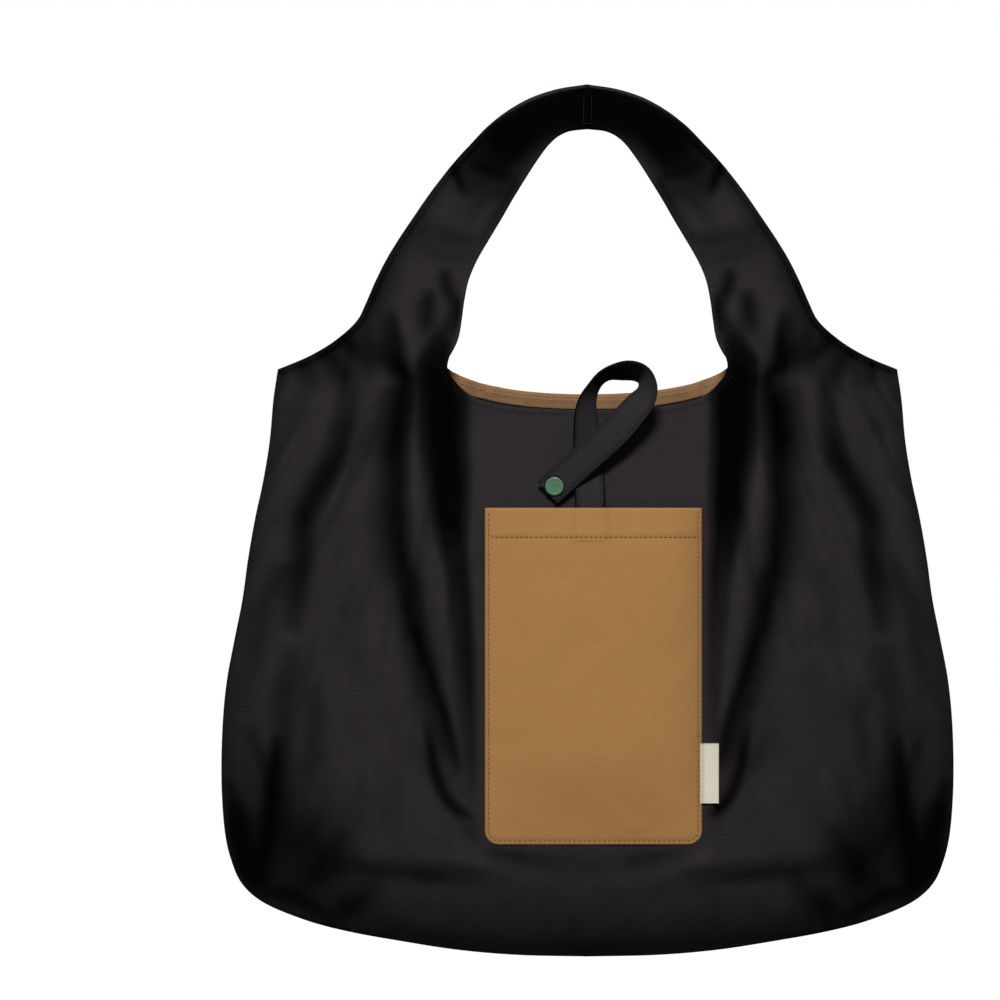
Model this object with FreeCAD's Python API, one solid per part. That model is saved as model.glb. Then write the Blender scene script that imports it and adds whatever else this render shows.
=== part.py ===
import FreeCAD, Part
import math
import os

# Foldable tote bag of cotton cloth, hung by its two handle loops. Millimetres, +Z up, front face
# towards -Y. The origin is the point under the top of the handles where a hook or a hand carries it.
# Each body panel is a thin shell over a pillow-shaped depth field, cut to the panel's outline.
# A panel and its handle loop are one cut of cloth; they are split here at the line where it bends.

# ---- driving dimensions -------------------------------------------------------------------
CLOTH = 0.6            # body cloth, one layer
TAPE = 0.3             # bias facing tape
FACING_W = 9.5         # width of the facing tape inside each edge
Z_BASE = -581.3        # lowest point of the bag
Z_HINGE = -147.0       # line across the handle bases where the handles bend
HINGE_GAP = 0.5        # half the gap left between body cloth and handle cloth at that line
Y_HANDLE = 10.0        # half the distance between the front and back handle planes
EDGE_DEPTH = 1.8       # depth of each panel at the side seam
TOP_DEPTH = 3.6        # depth of each handle loop at its inner edge, at the top
# How far the handle top leans outwards: distance from the centre line, depth per mm above its inner edge.
LEAN = [(-40.0, 1.27), (0.0, 1.27), (35.0, 0.86), (60.0, 0.5), (85.0, 0.2), (110.0, 0.0), (200.0, 0.0)]
CORNER_X, CORNER_Z = 206.3, -190.0     # top of the side seam
BELLY_HB = 130.0       # height over which the bottom rounds in
POCKET_X0, POCKET_X1 = -68.3, 75.7
POCKET_Z0, POCKET_Z1 = -505.7, -282.3
POCKET_PUFF = 7.0
POCKET_T = 0.7
POCKET_R = 9.0
HEM_Z = -301.7         # stitched line of the pocket's top hem
STRAP_W = 20.0         # closure strap
STRAP_T = 1.0
SNAP_CAP_R = 6.2
SNAP_CAP_T = 1.5
SNAP_SOCKET_R = 5.2
SNAP_SOCKET_T = 2.6
STUD_R = 5.2
STUD_BASE_T = 1.0
STUD_PIN_R = 1.9
STUD_PIN_H = 2.2
LABEL_Z0, LABEL_Z1 = -478.3, -438.3
LABEL_W = 11.0
LABEL_T = 0.5
THREAD_W = 0.6
THREAD_T = 0.22

# Outer edge of one handle half, from its top centre down to the hinge line (x, z).
HANDLE_OUT = [(0, 0.9), (19.7, -2.3), (36.3, -7.7), (46.7, -13.0), (55.0, -18.3), (62.0, -23.7),
              (68.0, -29.0), (78.0, -39.7), (87.7, -50.3), (100.3, -66.3), (108.0, -77.0), (117.0, -90.3),
              (126.0, -103.7), (134.0, -117.0), (140.7, -130.3), (148.0, -147.0), (153.0, -157.0)]
# Inner edge of the handle, from the top centre of the opening down to the neck corner.
HANDLE_IN = [(0, -29.8), (12.0, -31.2), (19.0, -34.3), (25.3, -39.7), (33.3, -50.3), (43.7, -66.3), (50.3, -77.0),
             (58.0, -90.3), (66.0, -103.7), (73.7, -117.0), (79.3, -130.3), (82.7, -147.0), (84.0, -157.0),
             (86.5, -170.0), (92.5, -182.0)]
ARMHOLE = [(148.0, -147.0), (153.0, -157.0), (167.3, -170.3), (185.0, -181.0), (CORNER_X, CORNER_Z)]
SIDE = [(CORNER_X, CORNER_Z), (209.3, -210.3), (211.7, -237.0), (216.0, -263.7), (221.7, -290.3),
        (226.3, -317.0), (230.0, -343.7), (235.3, -370.3), (240.3, -397.0), (243.0, -423.7), (244.0, -457.0),
        (243.0, -483.7), (240.7, -503.7), (237.3, -517.0), (231.0, -531.5), (218.3, -543.7), (188.0, -557.0),
        (160.0, -564.5), (125.7, -570.8), (85.3, -577.0), (45.7, -580.3), (0, Z_BASE)]
NECK_FRONT = [(93.5, -190.0), (87.0, -200.0), (77.5, -207.5), (65.0, -212.3), (45.0, -215.5), (20.0, -216.9), (0, -217.2)]
NECK_BACK = [(95.0, -186.5), (88.0, -193.0), (78.0, -197.5), (68.0, -200.2), (45.0, -204.3), (20.0, -206.3), (0, -206.8)]
# Depth of the pillow on the bag's centre line (z, depth).
BELLY = [(60.0, 10.0), (-147.0, 12.0), (-170.0, 19.0), (-190.0, 25.0), (-216.0, 31.0), (-250.0, 38.0),
         (-285.0, 44.5), (-320.0, 46.0), (-450.0, 46.0), (-700.0, 46.0)]


# ---- small helpers ------------------------------------------------------------------------
def V(x, y, z):
    return FreeCAD.Vector(x, y, z)


def clamp(a, lo=0.0, hi=1.0):
    return max(lo, min(hi, a))


def smooth(a):
    a = clamp(a)
    return a * a * (3 - 2 * a)


def lookup(table, key):
    """Smooth interpolation in a table sorted by falling key."""
    t = sorted(table)
    if key <= t[0][0]:
        return t[0][1]
    if key >= t[-1][0]:
        return t[-1][1]
    for i in range(len(t) - 1):
        if t[i][0] <= key <= t[i + 1][0]:
            break
    x0, y0 = t[i]
    x1, y1 = t[i + 1]
    def slope(a, b):
        return (b[1] - a[1]) / (b[0] - a[0])
    d = slope(t[i], t[i + 1])
    dl = slope(t[i - 1], t[i]) if i > 0 else d
    dr = slope(t[i + 1], t[i + 2]) if i + 2 < len(t) else d
    m0 = 0.0 if dl * d <= 0 else 2 * dl * d / (dl + d)
    m1 = 0.0 if dr * d <= 0 else 2 * dr * d / (dr + d)
    h = x1 - x0
    s = (key - x0) / h
    return ((1 + 2 * s) * (1 - s) ** 2 * y0 + s * (1 - s) ** 2 * h * m0
            + s * s * (3 - 2 * s) * y1 + s * s * (s - 1) * h * m1)


SIDE_W = [(z, x) for x, z in SIDE if z > -540] + [(-560.0, 226.0), (-620.0, 215.0), (-100.0, 206.0), (100.0, 206.0)]
BOTTOM_Z = [(x, z) for x, z in SIDE if z < -543] + [(232.0, -533.0), (244.0, -520.0), (300.0, -500.0)]


def half_width(z):
    return lookup(SIDE_W, z)


def bottom_z(x):
    return lookup(BOTTOM_Z, abs(x))


def edge_distance(x, z, curve):
    """Distance below the curve in the XZ plane, negative above it. The curve runs from the centre outwards."""
    best, sign = 1e9, 1.0
    x = abs(x)
    for (ax, az), (bx, bz) in zip(curve, curve[1:]):
        dx, dz = bx - ax, bz - az
        t = clamp(((x - ax) * dx + (z - az) * dz) / (dx * dx + dz * dz))
        px, pz = x - ax - t * dx, z - az - t * dz
        d = math.hypot(px, pz)
        if d < best:
            best, sign = d, (1.0 if dx * pz - dz * px <= 0 else -1.0)
    return best * sign


def body_depth(x, z):
    """Depth of a body panel's outer face from the plane y = 0."""
    u = clamp(abs(x) / half_width(z), 0, 1.05)
    v = clamp((z - bottom_z(x)) / BELLY_HB, -0.05, 1)
    side = 1 - u ** 2.6
    low = 1 - (1 - v) ** 2.2
    d = EDGE_DEPTH + (lookup(BELLY, z) - EDGE_DEPTH) * max(side, -0.02) * max(low, -0.02)
    s = smooth((z + 185.0) / 38.0)
    # towards the hinge line the handle base lies in the handle plane, but the seam corner stays shut
    keep = smooth((abs(x) - 150.0) / 50.0)
    return d + (Y_HANDLE - d) * s * (1 - keep)


def handle_depth(x, z):
    """Depth of a handle loop's outer face: flat at the sides, its outer edge leaning outwards at the top."""
    q = smooth((z + 95.0) / 70.0)
    rise = -edge_distance(x, z, [(-12.0, -31.2)] + HANDLE_IN)
    return Y_HANDLE + (TOP_DEPTH + lookup(LEAN, abs(x)) * clamp(rise, -6.0, 60.0) - Y_HANDLE) * q


def grid_of(depth, x0, x1, nx, z0, z1, nz, lift, front):
    """Rows of points on a depth field, moved by lift along its normal, towards the inside if positive."""
    rows = []
    for i in range(nx + 1):
        x = x0 + (x1 - x0) * i / nx
        row = []
        for j in range(nz + 1):
            z = z0 + (z1 - z0) * j / nz
            e = 1.0
            fx = (depth(x + e, z) - depth(x - e, z)) / (2 * e)
            fz = (depth(x, z + e) - depth(x, z - e)) / (2 * e)
            y = depth(x, z) - lift * math.sqrt(1 + fx * fx + fz * fz)
            row.append(V(x, -y if front else y, z))
        rows.append(row)
    return rows


def slab(grid_a, grid_b):
    """Closed solid between two point grids of the same size."""
    faces, edges = [], []
    for g in (grid_a, grid_b):
        s = Part.BSplineSurface()
        s.interpolate(g)
        faces.append(s.toShape())
        u0, u1, v0, v1 = s.bounds()
        edges.append([s.uIso(u0).toShape(), s.uIso(u1).toShape(), s.vIso(v0).toShape(), s.vIso(v1).toShape()])
    for a, b in zip(*edges):
        faces.append(Part.makeRuledSurface(a, b))
    shell = Part.makeShell(faces)
    if not shell.isClosed():
        shell = shell.copy()
        shell.sewShape()
        shell = shell.Shells[0] if shell.Shells else Part.makeShell(shell.Faces)
    solid = Part.Solid(shell)
    if solid.Volume < 0:
        solid.reverse()
    return solid


def spline(points):
    c = Part.BSplineCurve()
    c.interpolate(Points=[V(x, 0, z) for x, z in points])
    return c.toShape()


def line(a, b):
    return Part.makeLine(V(a[0], 0, a[1]), V(b[0], 0, b[1]))


def prism(edges, depth=130.0):
    wire = Part.Wire(Part.__sortEdges__(edges))
    face = Part.Face(wire)
    face.translate(V(0, -depth, 0))
    return face.extrude(V(0, 2 * depth, 0))


def mirror(points):
    return [(-x, z) for x, z in reversed(points)]


def offset(points, d):
    """Points moved by d to the left of the direction of travel, in the XZ plane."""
    out = []
    for i, (x, z) in enumerate(points):
        a = points[max(i - 1, 0)]
        b = points[min(i + 1, len(points) - 1)]
        tx, tz = b[0] - a[0], b[1] - a[1]
        n = math.hypot(tx, tz)
        out.append((x - tz / n * d, z + tx / n * d))
    return out


def biggest(shape, least=2.0):
    solids = [s for s in shape.Solids if s.Volume > least]
    return Part.makeCompound(solids) if len(solids) > 1 else solids[0]


def ribbon(frames, width, thick):
    """Closed solid strip. frames holds (point, width direction, face normal) along it."""
    params = [0.0]
    for (p, _, _), (q, _, _) in zip(frames, frames[1:]):
        params.append(params[-1] + (q - p).Length)
    rails = []
    for sw, st in ((-1, -1), (1, -1), (1, 1), (-1, 1)):
        c = Part.BSplineCurve()
        c.interpolate(Points=[p + b * (sw * width / 2) + n * (st * thick / 2) for p, b, n in frames], Parameters=params)
        rails.append(c.toShape())
    faces = [Part.makeRuledSurface(rails[i], rails[(i + 1) % 4]) for i in range(4)]
    for k in (0, -1):
        p, b, n = frames[k]
        q = [p + b * (sw * width / 2) + n * (st * thick / 2) for sw, st in ((-1, -1), (1, -1), (1, 1), (-1, 1))]
        faces.append(Part.makeRuledSurface(Part.makeLine(q[0], q[1]), Part.makeLine(q[3], q[2])))
    shell = Part.makeShell(faces)
    shell.sewShape()
    solid = Part.Solid(shell.Shells[0] if shell.Shells else shell)
    if solid.Volume < 0:
        solid.reverse()
    return solid


def frames_of(points, turns):
    """Frames for a ribbon: turns is the angle of the width direction out of the XZ plane at each point."""
    out = []
    for i, p in enumerate(points):
        a = points[max(i - 1, 0)]
        b = points[min(i + 1, len(points) - 1)]
        t = (b - a).normalize()
        flat = V(t.z, 0, -t.x)
        flat = (flat - t * flat.dot(t)).normalize()
        deep = t.cross(flat)            # +Y for a strap going up
        if deep.y < 0:
            deep = deep * -1
        f = math.radians(turns[i])
        w = (flat * math.cos(f) + deep * math.sin(f)).normalize()
        out.append((p, w, w.cross(t).normalize()))
    return out


def thread(points, depth, front, lift, step=7.0, closed=False):
    """A stitching thread: a fine flat strip just outside the cloth, along points in the XZ plane."""
    fine = []
    for (ax, az), (bx, bz) in zip(points, points[1:]):
        n = max(1, int(math.hypot(bx - ax, bz - az) / step))
        fine += [(ax + (bx - ax) * i / n, az + (bz - az) * i / n) for i in range(n)]
    fine.append(points[-1])
    frames = []
    sign = -1 if front else 1
    for i, (x, z) in enumerate(fine):
        e = 1.0
        fx = (depth(x + e, z) - depth(x - e, z)) / (2 * e)
        fz = (depth(x, z + e) - depth(x, z - e)) / (2 * e)
        n = V(-fx, sign, -fz)
        n.normalize()
        p = V(x, sign * depth(x, z), z) + n * lift
        frames.append([p, n])
    out = []
    for i, (p, n) in enumerate(frames):
        t = frames[min(i + 1, len(frames) - 1)][0] - frames[max(i - 1, 0)][0]
        t.normalize()
        b = t.cross(n).normalize()
        out.append((p, b, b.cross(t).normalize()))
    return ribbon(out, THREAD_W, THREAD_T)


def write(name, shape):
    solids = shape.Solids
    assert solids, name
    for s in solids:
        assert s.isValid() and s.Volume > 0, (name, s.isValid(), s.Volume)
    shape.exportStep(os.path.join("parts", name + ".step"))
    b = shape.BoundBox
    print("%-26s solids %d  vol %8.1f  faces %3d  x %.1f..%.1f  y %.1f..%.1f  z %.1f..%.1f" % (
        name, len(solids), shape.Volume, len(shape.Faces), b.XMin, b.XMax, b.YMin, b.YMax, b.ZMin, b.ZMax))


def panel_prism(neck):
    """Body panel outline: bottom and sides, armholes, handle bases and neckline."""
    zt = Z_HINGE - HINGE_GAP
    inner = [p for p in HANDLE_IN if p[1] < -150]
    arm = [(149.0, zt)] + ARMHOLE[1:]
    right = [(83.0, zt)] + inner + neck
    edges = []
    edges.append(spline([(-x, z) for x, z in SIDE[:13]]))
    low = SIDE[12:]
    edges.append(spline([(-x, z) for x, z in low[:-1]] + [low[-1]] + mirror([(-x, z) for x, z in low[:-1]])))
    edges.append(spline(SIDE[:13]))
    edges.append(spline(arm))
    edges.append(spline([(-x, z) for x, z in arm]))
    edges.append(line((149.0, zt), (83.0, zt)))
    edges.append(line((-149.0, zt), (-83.0, zt)))
    edges.append(spline([(-x, z) for x, z in right[:-1]] + list(reversed(right))))
    return prism(edges)


def neck_band(neck):
    """Band inside the neckline and the lower part of the handle's inner edge."""
    zt = Z_HINGE - HINGE_GAP
    inner = [p for p in HANDLE_IN if p[1] < -150]
    right = [(83.0, zt)] + inner + neck
    far = offset(right, FACING_W)
    far[0] = (83.0 + FACING_W, zt)
    far[-1] = (0, neck[-1][1] - FACING_W)
    def sym(c):
        return [(-x, z) for x, z in c[:-1]] + list(reversed(c))
    return prism([spline(sym(right)), spline(sym(far)), line(right[0], far[0]),
                  line((-right[0][0], zt), (-far[0][0], zt))])


def arm_band(side):
    zt = Z_HINGE - HINGE_GAP
    arm = [(149.0, zt)] + ARMHOLE[1:-1] + [(CORNER_X - 6.0, CORNER_Z + 2.2)]
    far = offset(arm, -FACING_W)
    far[0] = (149.0 - FACING_W - 1.0, zt)
    arm = [(side * x, z) for x, z in arm]
    far = [(side * x, z) for x, z in far]
    return prism([spline(arm), spline(far), line(arm[0], far[0]), line(arm[-1], far[-1])])


def handle_prism(side, out_pts, in_pts):
    zb = Z_HINGE + HINGE_GAP
    out = [(side * max(x, 0.05), z) for x, z in out_pts if z > zb + 5] + [(side * 147.2, zb)]
    inn = [(side * max(x, 0.05), z) for x, z in in_pts if z > zb + 5] + [(side * 82.5, zb)]
    out[0] = (side * 0.05, out[0][1])
    inn[0] = (side * 0.05, inn[0][1])
    return prism([spline(out), spline(inn), line(out[0], inn[0]), line(out[-1], inn[-1])])


def main():
    os.makedirs("parts", exist_ok=True)

    # ---- body panels and facings ----
    gx, gz = (-262.0, 262.0, 44), (-600.0, -138.0, 44)
    slabs = {}
    for front in (True, False):
        a = grid_of(body_depth, *gx, *gz, 0.0, front)
        b = grid_of(body_depth, *gx, *gz, CLOTH, front)
        c = grid_of(body_depth, *gx, *gz, CLOTH + 0.08, front)
        d = grid_of(body_depth, *gx, *gz, CLOTH + 0.08 + TAPE, front)
        slabs[front] = (slab(a, b), slab(c, d))
    write("front_panel", biggest(slabs[True][0].common(panel_prism(NECK_FRONT))))
    write("back_panel", biggest(slabs[False][0].common(panel_prism(NECK_BACK))))
    write("front_neck_facing", biggest(slabs[True][1].common(neck_band(NECK_FRONT))))
    write("back_neck_facing", biggest(slabs[False][1].common(neck_band(NECK_BACK))))
    for name, side in (("left_armhole_facing", -1), ("right_armhole_facing", 1)):
        band = arm_band(side)
        write(name, Part.makeCompound([biggest(slabs[f][1].common(band)) for f in (True, False)]))

    # ---- seam binding inside the side and bottom seam ----
    rim = [(CORNER_X - 1.0, CORNER_Z - 4.0)] + [(x - 0.6, z + 0.3) for x, z in SIDE[1:12]]
    low = [(x - 0.5, z + 0.6) for x, z in SIDE[12:-1]] + [(0, Z_BASE + 0.8)]
    path = rim + low
    full = path[:-1] + [path[-1]] + mirror(path[:-1])
    fr = []
    for i, (x, z) in enumerate(full):
        a, b = full[max(i - 1, 0)], full[min(i + 1, len(full) - 1)]
        t = V(b[0] - a[0], 0, b[1] - a[1]).normalize()
        n = V(-t.z, 0, t.x) * -1
        inward = n if n.dot(V(-x, 0, -380 - z)) > 0 else n * -1
        fr.append((V(x, 0, z) + inward * 4.0, inward, V(0, -1, 0)))
    write("seam_binding", ribbon(fr, 7.6, 1.0))

    # ---- handle loops ----
    hx, hz = (-165.0, 165.0, 40), (-156.0, 12.0, 26)
    for word, front in (("front", True), ("back", False)):
        outer = slab(grid_of(handle_depth, *hx, *hz, 0.0, front), grid_of(handle_depth, *hx, *hz, CLOTH, front))
        inner = slab(grid_of(handle_depth, *hx, *hz, CLOTH + 0.08, front),
                     grid_of(handle_depth, *hx, *hz, CLOTH + 0.08 + TAPE, front))
        tapes = []
        for side, hand in ((-1, "left"), (1, "right")):
            write("%s_handle_%s" % (word, hand), biggest(outer.common(handle_prism(side, HANDLE_OUT, HANDLE_IN))))
            ins = offset(HANDLE_IN, FACING_W)
            ins[0] = (0, HANDLE_IN[0][1] + FACING_W)
            outs = offset(HANDLE_OUT, -FACING_W)
            outs[0] = (0, HANDLE_OUT[0][1] - FACING_W)
            zb = Z_HINGE + HINGE_GAP
            def band(near, far, xn, xf):
                n = [(side * x, z) for x, z in near if z > zb + 5] + [(side * xn, zb)]
                f = [(side * x, z) for x, z in far if z > zb + 5] + [(side * xf, zb)]
                n[0], f[0] = (side * 0.05, n[0][1]), (side * 0.05, f[0][1])
                return prism([spline(n), spline(f), line(n[0], f[0]), line(n[-1], f[-1])])
            tapes.append(biggest(inner.common(band(HANDLE_IN, ins, 82.5, 82.5 + FACING_W))))
            tapes.append(biggest(inner.common(band(HANDLE_OUT, outs, 147.2, 147.2 - FACING_W - 0.8))))
        write("%s_handle_facing" % word, Part.makeCompound(tapes))
        edge_in = offset(HANDLE_IN[:12], 3.4)
        edge_in[0] = (0, HANDLE_IN[0][1] + 3.4)
        edge_in = [p for p in edge_in if p[1] > Z_HINGE + 2]
        run = [(-x, z) for x, z in reversed(edge_in)] + edge_in[1:]
        threads = [thread(run, handle_depth, front, 0.62, 4.0)]
        for x in (-2.6, 2.6):
            threads.append(thread([(x, -3.0), (x, -24.5)], handle_depth, front, 0.62, 4.0))
        write("%s_handle_stitching" % word, Part.makeCompound(threads))

    # ---- pocket ----
    cx, wx = (POCKET_X0 + POCKET_X1) / 2, (POCKET_X1 - POCKET_X0) / 2

    def pocket_inner(x, z):
        ux = clamp(abs(x - cx) / wx, 0, 1.1)
        up = smooth((z - POCKET_Z0) / 60.0)
        return body_depth(x, z) + 0.1 + POCKET_PUFF * (1 - ux * ux) * up

    def pocket_outer(x, z):
        return pocket_inner(x, z) + POCKET_T

    px, pz = (POCKET_X0 - 2, POCKET_X1 + 2, 20), (POCKET_Z0 - 2, POCKET_Z1 + 2, 28)
    body = slab(grid_of(pocket_outer, *px, *pz, 0.0, True), grid_of(pocket_inner, *px, *pz, 0.0, True))
    r = POCKET_R
    arc_r = Part.Arc(V(POCKET_X1, 0, POCKET_Z0 + r), V(POCKET_X1 - r * 0.293, 0, POCKET_Z0 + r * 0.293), V(POCKET_X1 - r, 0, POCKET_Z0)).toShape()
    arc_l = Part.Arc(V(POCKET_X0, 0, POCKET_Z0 + r), V(POCKET_X0 + r * 0.293, 0, POCKET_Z0 + r * 0.293), V(POCKET_X0 + r, 0, POCKET_Z0)).toShape()
    edges = [line((POCKET_X0, POCKET_Z1), (POCKET_X1, POCKET_Z1)), line((POCKET_X1, POCKET_Z1), (POCKET_X1, POCKET_Z0 + r)), arc_r,
             line((POCKET_X1 - r, POCKET_Z0), (POCKET_X0 + r, POCKET_Z0)), arc_l, line((POCKET_X0, POCKET_Z0 + r), (POCKET_X0, POCKET_Z1))]
    write("pocket", biggest(body.common(prism(edges))))
    m = 2.4
    rim = [(POCKET_X0 + m, POCKET_Z1 - 1.5), (POCKET_X0 + m, POCKET_Z0 + r), (POCKET_X0 + m + (r - m) * 0.293, POCKET_Z0 + m + (r - m) * 0.293),
           (POCKET_X0 + r, POCKET_Z0 + m), (POCKET_X1 - r, POCKET_Z0 + m), (POCKET_X1 - m - (r - m) * 0.293, POCKET_Z0 + m + (r - m) * 0.293),
           (POCKET_X1 - m, POCKET_Z0 + r), (POCKET_X1 - m, POCKET_Z1 - 1.5)]
    threads = [thread(rim[a:b], pocket_outer, True, 0.16, 8.0) for a, b in ((0, 2), (1, 4), (3, 5), (4, 7), (6, 8))]
    threads = [threads[0], threads[2], threads[4], thread([(POCKET_X0 + m + 1.5, HEM_Z), (POCKET_X1 - m - 1.5, HEM_Z)], pocket_outer, True, 0.16, 8.0)]
    write("pocket_stitching", Part.makeCompound(threads))

    # ---- neckline and armhole stitching ----
    for word, front, neck in (("front", True, NECK_FRONT), ("back", False, NECK_BACK)):
        inner = [p for p in HANDLE_IN if -175 < p[1] < -150]
        c = offset(inner + neck, 4.0)
        c[-1] = (0, neck[-1][1] - 4.0)
        run = [(-x, z) for x, z in c[:-1]] + list(reversed(c))
        write("%s_neck_stitching" % word, thread(run, body_depth, front, 0.3, 6.0))
    arms = []
    for side in (-1, 1):
        for front in (True, False):
            a = offset([(153.0, -157.0)] + ARMHOLE[2:-1] + [(CORNER_X - 9.0, CORNER_Z + 3.6)], -4.0)
            arms.append(thread([(side * x, z) for x, z in a], body_depth, front, 0.26, 6.0))
    write("armhole_stitching", Part.makeCompound(arms))

    # ---- closure strap: sewn root, standing loop, free tail ----
    mid_x = 1.5
    y_in = pocket_inner(mid_x, -292.0)

    def root_y(z):
        return -(pocket_inner(mid_x, z) - 0.4 - STRAP_T / 2)

    root = [V(mid_x, root_y(z), z) for z in (-302.5, -297.0, -291.0, -286.0, POCKET_Z1 - 0.2)]
    write("closure_strap_root", ribbon([(p, V(1, 0, 0), V(0, -1, 0)) for p in root], STRAP_W, STRAP_T))
    write("closure_root_stitching", thread([(mid_x - 8.5, HEM_Z - 2.4), (mid_x + 8.5, HEM_Z - 2.4)], pocket_outer, True, 0.16, 6.0))

    y0 = root_y(POCKET_Z1)
    loop = [V(mid_x, y0 + 0.2, POCKET_Z1 + 1.4), V(mid_x, y0 + 2.4, -272.0), V(mid_x, -43.2, -262.0), V(mid_x, -41.0, -250.0), V(mid_x, -39.5, -238.0),
            V(mid_x, -38.3, -227.0), V(mid_x + 0.8, -38.0, -217.0), V(4.4, -39.2, -207.0), V(10.2, -41.4, -198.0),
            V(18.6, -43.8, -192.2), V(27.4, -46.0, -190.8), V(34.0, -47.8, -194.4), V(36.8, -49.4, -201.6)]
    turns = [0, 0, 0, 0, 0, 3, 12, 30, 50, 62, 66, 60, 48]
    write("closure_strap_loop", ribbon(frames_of(loop, turns), STRAP_W, STRAP_T))
    tail = [V(37.0, -50.4, -204.6), V(34.6, -51.4, -211.4), V(28.0, -52.2, -218.8), V(17.5, -52.3, -229.0), V(6.0, -51.8, -239.6), V(-6.0, -50.4, -250.5),
            V(-16.0, -48.6, -260.0), V(-25.0, -47.4, -268.6)]
    tail_frames = frames_of(tail, [42, 26, 12, 4, 0, 0, 0, 0])
    write("closure_strap_tail", ribbon(tail_frames, STRAP_W, STRAP_T))

    # ---- snap fastener: cap and socket on the tail, stud and its cap on the standing strap ----
    a, b = V(-6.0, -50.4, -250.5), V(-25.0, -47.4, -268.6)
    t = (b - a).normalize()
    w = V(t.z, 0, -t.x)
    w = (w - t * w.dot(t)).normalize()
    n = w.cross(t).normalize()
    if n.y > 0:
        n = n * -1
    pc = a + t * ((b - a).Length - 6.4)
    base = pc + n * (STRAP_T / 2 + 0.2)
    cap = Part.makeCylinder(SNAP_CAP_R, SNAP_CAP_T, base, n)
    edge = [e for e in cap.Edges if isinstance(e.Curve, Part.Circle) and (e.Curve.Center - (base + n * SNAP_CAP_T)).Length < 0.01]
    write("snap_cap", cap.makeFillet(0.9, edge))
    back = pc - n * (STRAP_T / 2 + 0.6)
    sock = Part.makeCylinder(SNAP_SOCKET_R, SNAP_SOCKET_T, back, n * -1)
    sock = sock.cut(Part.makeCylinder(2.15, SNAP_SOCKET_T - 0.7, back - n * 0.71, n * -1))
    write("snap_socket", sock)
    i = 3
    p0, p1, p2 = loop[i - 1], loop[i], loop[i + 1]
    t = (p2 - p0).normalize()
    n = V(1, 0, 0).cross(t).normalize()
    if n.y > 0:
        n = n * -1
    face = p1 + n * (STRAP_T / 2 + 0.35)
    stud = Part.makeCylinder(STUD_R, STUD_BASE_T, face, n).fuse(Part.makeCylinder(STUD_PIN_R, STUD_BASE_T + STUD_PIN_H, face, n))
    write("snap_stud", stud)
    write("stud_cap", Part.makeCylinder(SNAP_CAP_R - 0.6, 0.9, p1 - n * (STRAP_T / 2 + 0.35), n * -1))

    # ---- woven label at the pocket's side ----
    zc = (LABEL_Z0 + LABEL_Z1) / 2
    x0 = POCKET_X1 + 0.5
    y = -(body_depth(x0, zc) + 1.0)
    y1 = -(body_depth(x0 + LABEL_W, zc) + 0.9)
    lab = [V(x0, y, zc), V(x0 + LABEL_W / 3, (2 * y + y1) / 3, zc), V(x0 + 2 * LABEL_W / 3, (y + 2 * y1) / 3, zc), V(x0 + LABEL_W, y1, zc)]
    write("side_label", ribbon([(p, V(0, 0, 1), V(0, -1, 0)) for p in lab], LABEL_Z1 - LABEL_Z0, LABEL_T))


main()
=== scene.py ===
import math

import bpy
import numpy as np
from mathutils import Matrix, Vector, noise
from mathutils.geometry import delaunay_2d_cdt


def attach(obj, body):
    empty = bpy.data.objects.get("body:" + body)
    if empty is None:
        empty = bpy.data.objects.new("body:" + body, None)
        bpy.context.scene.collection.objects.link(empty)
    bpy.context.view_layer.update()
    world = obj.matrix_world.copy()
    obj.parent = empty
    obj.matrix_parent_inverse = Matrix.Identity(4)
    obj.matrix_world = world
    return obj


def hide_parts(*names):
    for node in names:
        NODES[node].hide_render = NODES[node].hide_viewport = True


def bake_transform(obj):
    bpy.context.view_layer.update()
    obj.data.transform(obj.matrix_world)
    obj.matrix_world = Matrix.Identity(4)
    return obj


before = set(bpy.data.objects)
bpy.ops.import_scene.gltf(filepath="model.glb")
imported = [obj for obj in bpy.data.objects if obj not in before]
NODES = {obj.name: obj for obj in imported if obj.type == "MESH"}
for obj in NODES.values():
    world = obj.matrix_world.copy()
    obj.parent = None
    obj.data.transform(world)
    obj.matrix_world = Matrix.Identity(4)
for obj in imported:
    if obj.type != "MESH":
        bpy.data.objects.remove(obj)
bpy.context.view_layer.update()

# Everything below is computed in millimetres in the row frame and scaled to metres when a mesh is made.
MM = 0.001
Z_HINGE = -147.0
Y_HANDLE, EDGE_DEPTH, TOP_DEPTH = 10.0, 1.8, 3.6
CORNER = (206.3, -190.0)
PX0, PX1, PZ0, PZ1 = -68.3, 75.7, -505.7, -282.3
HEM_Z = -301.7
CLOTH = 0.6
FACING_W = 9.5

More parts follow.
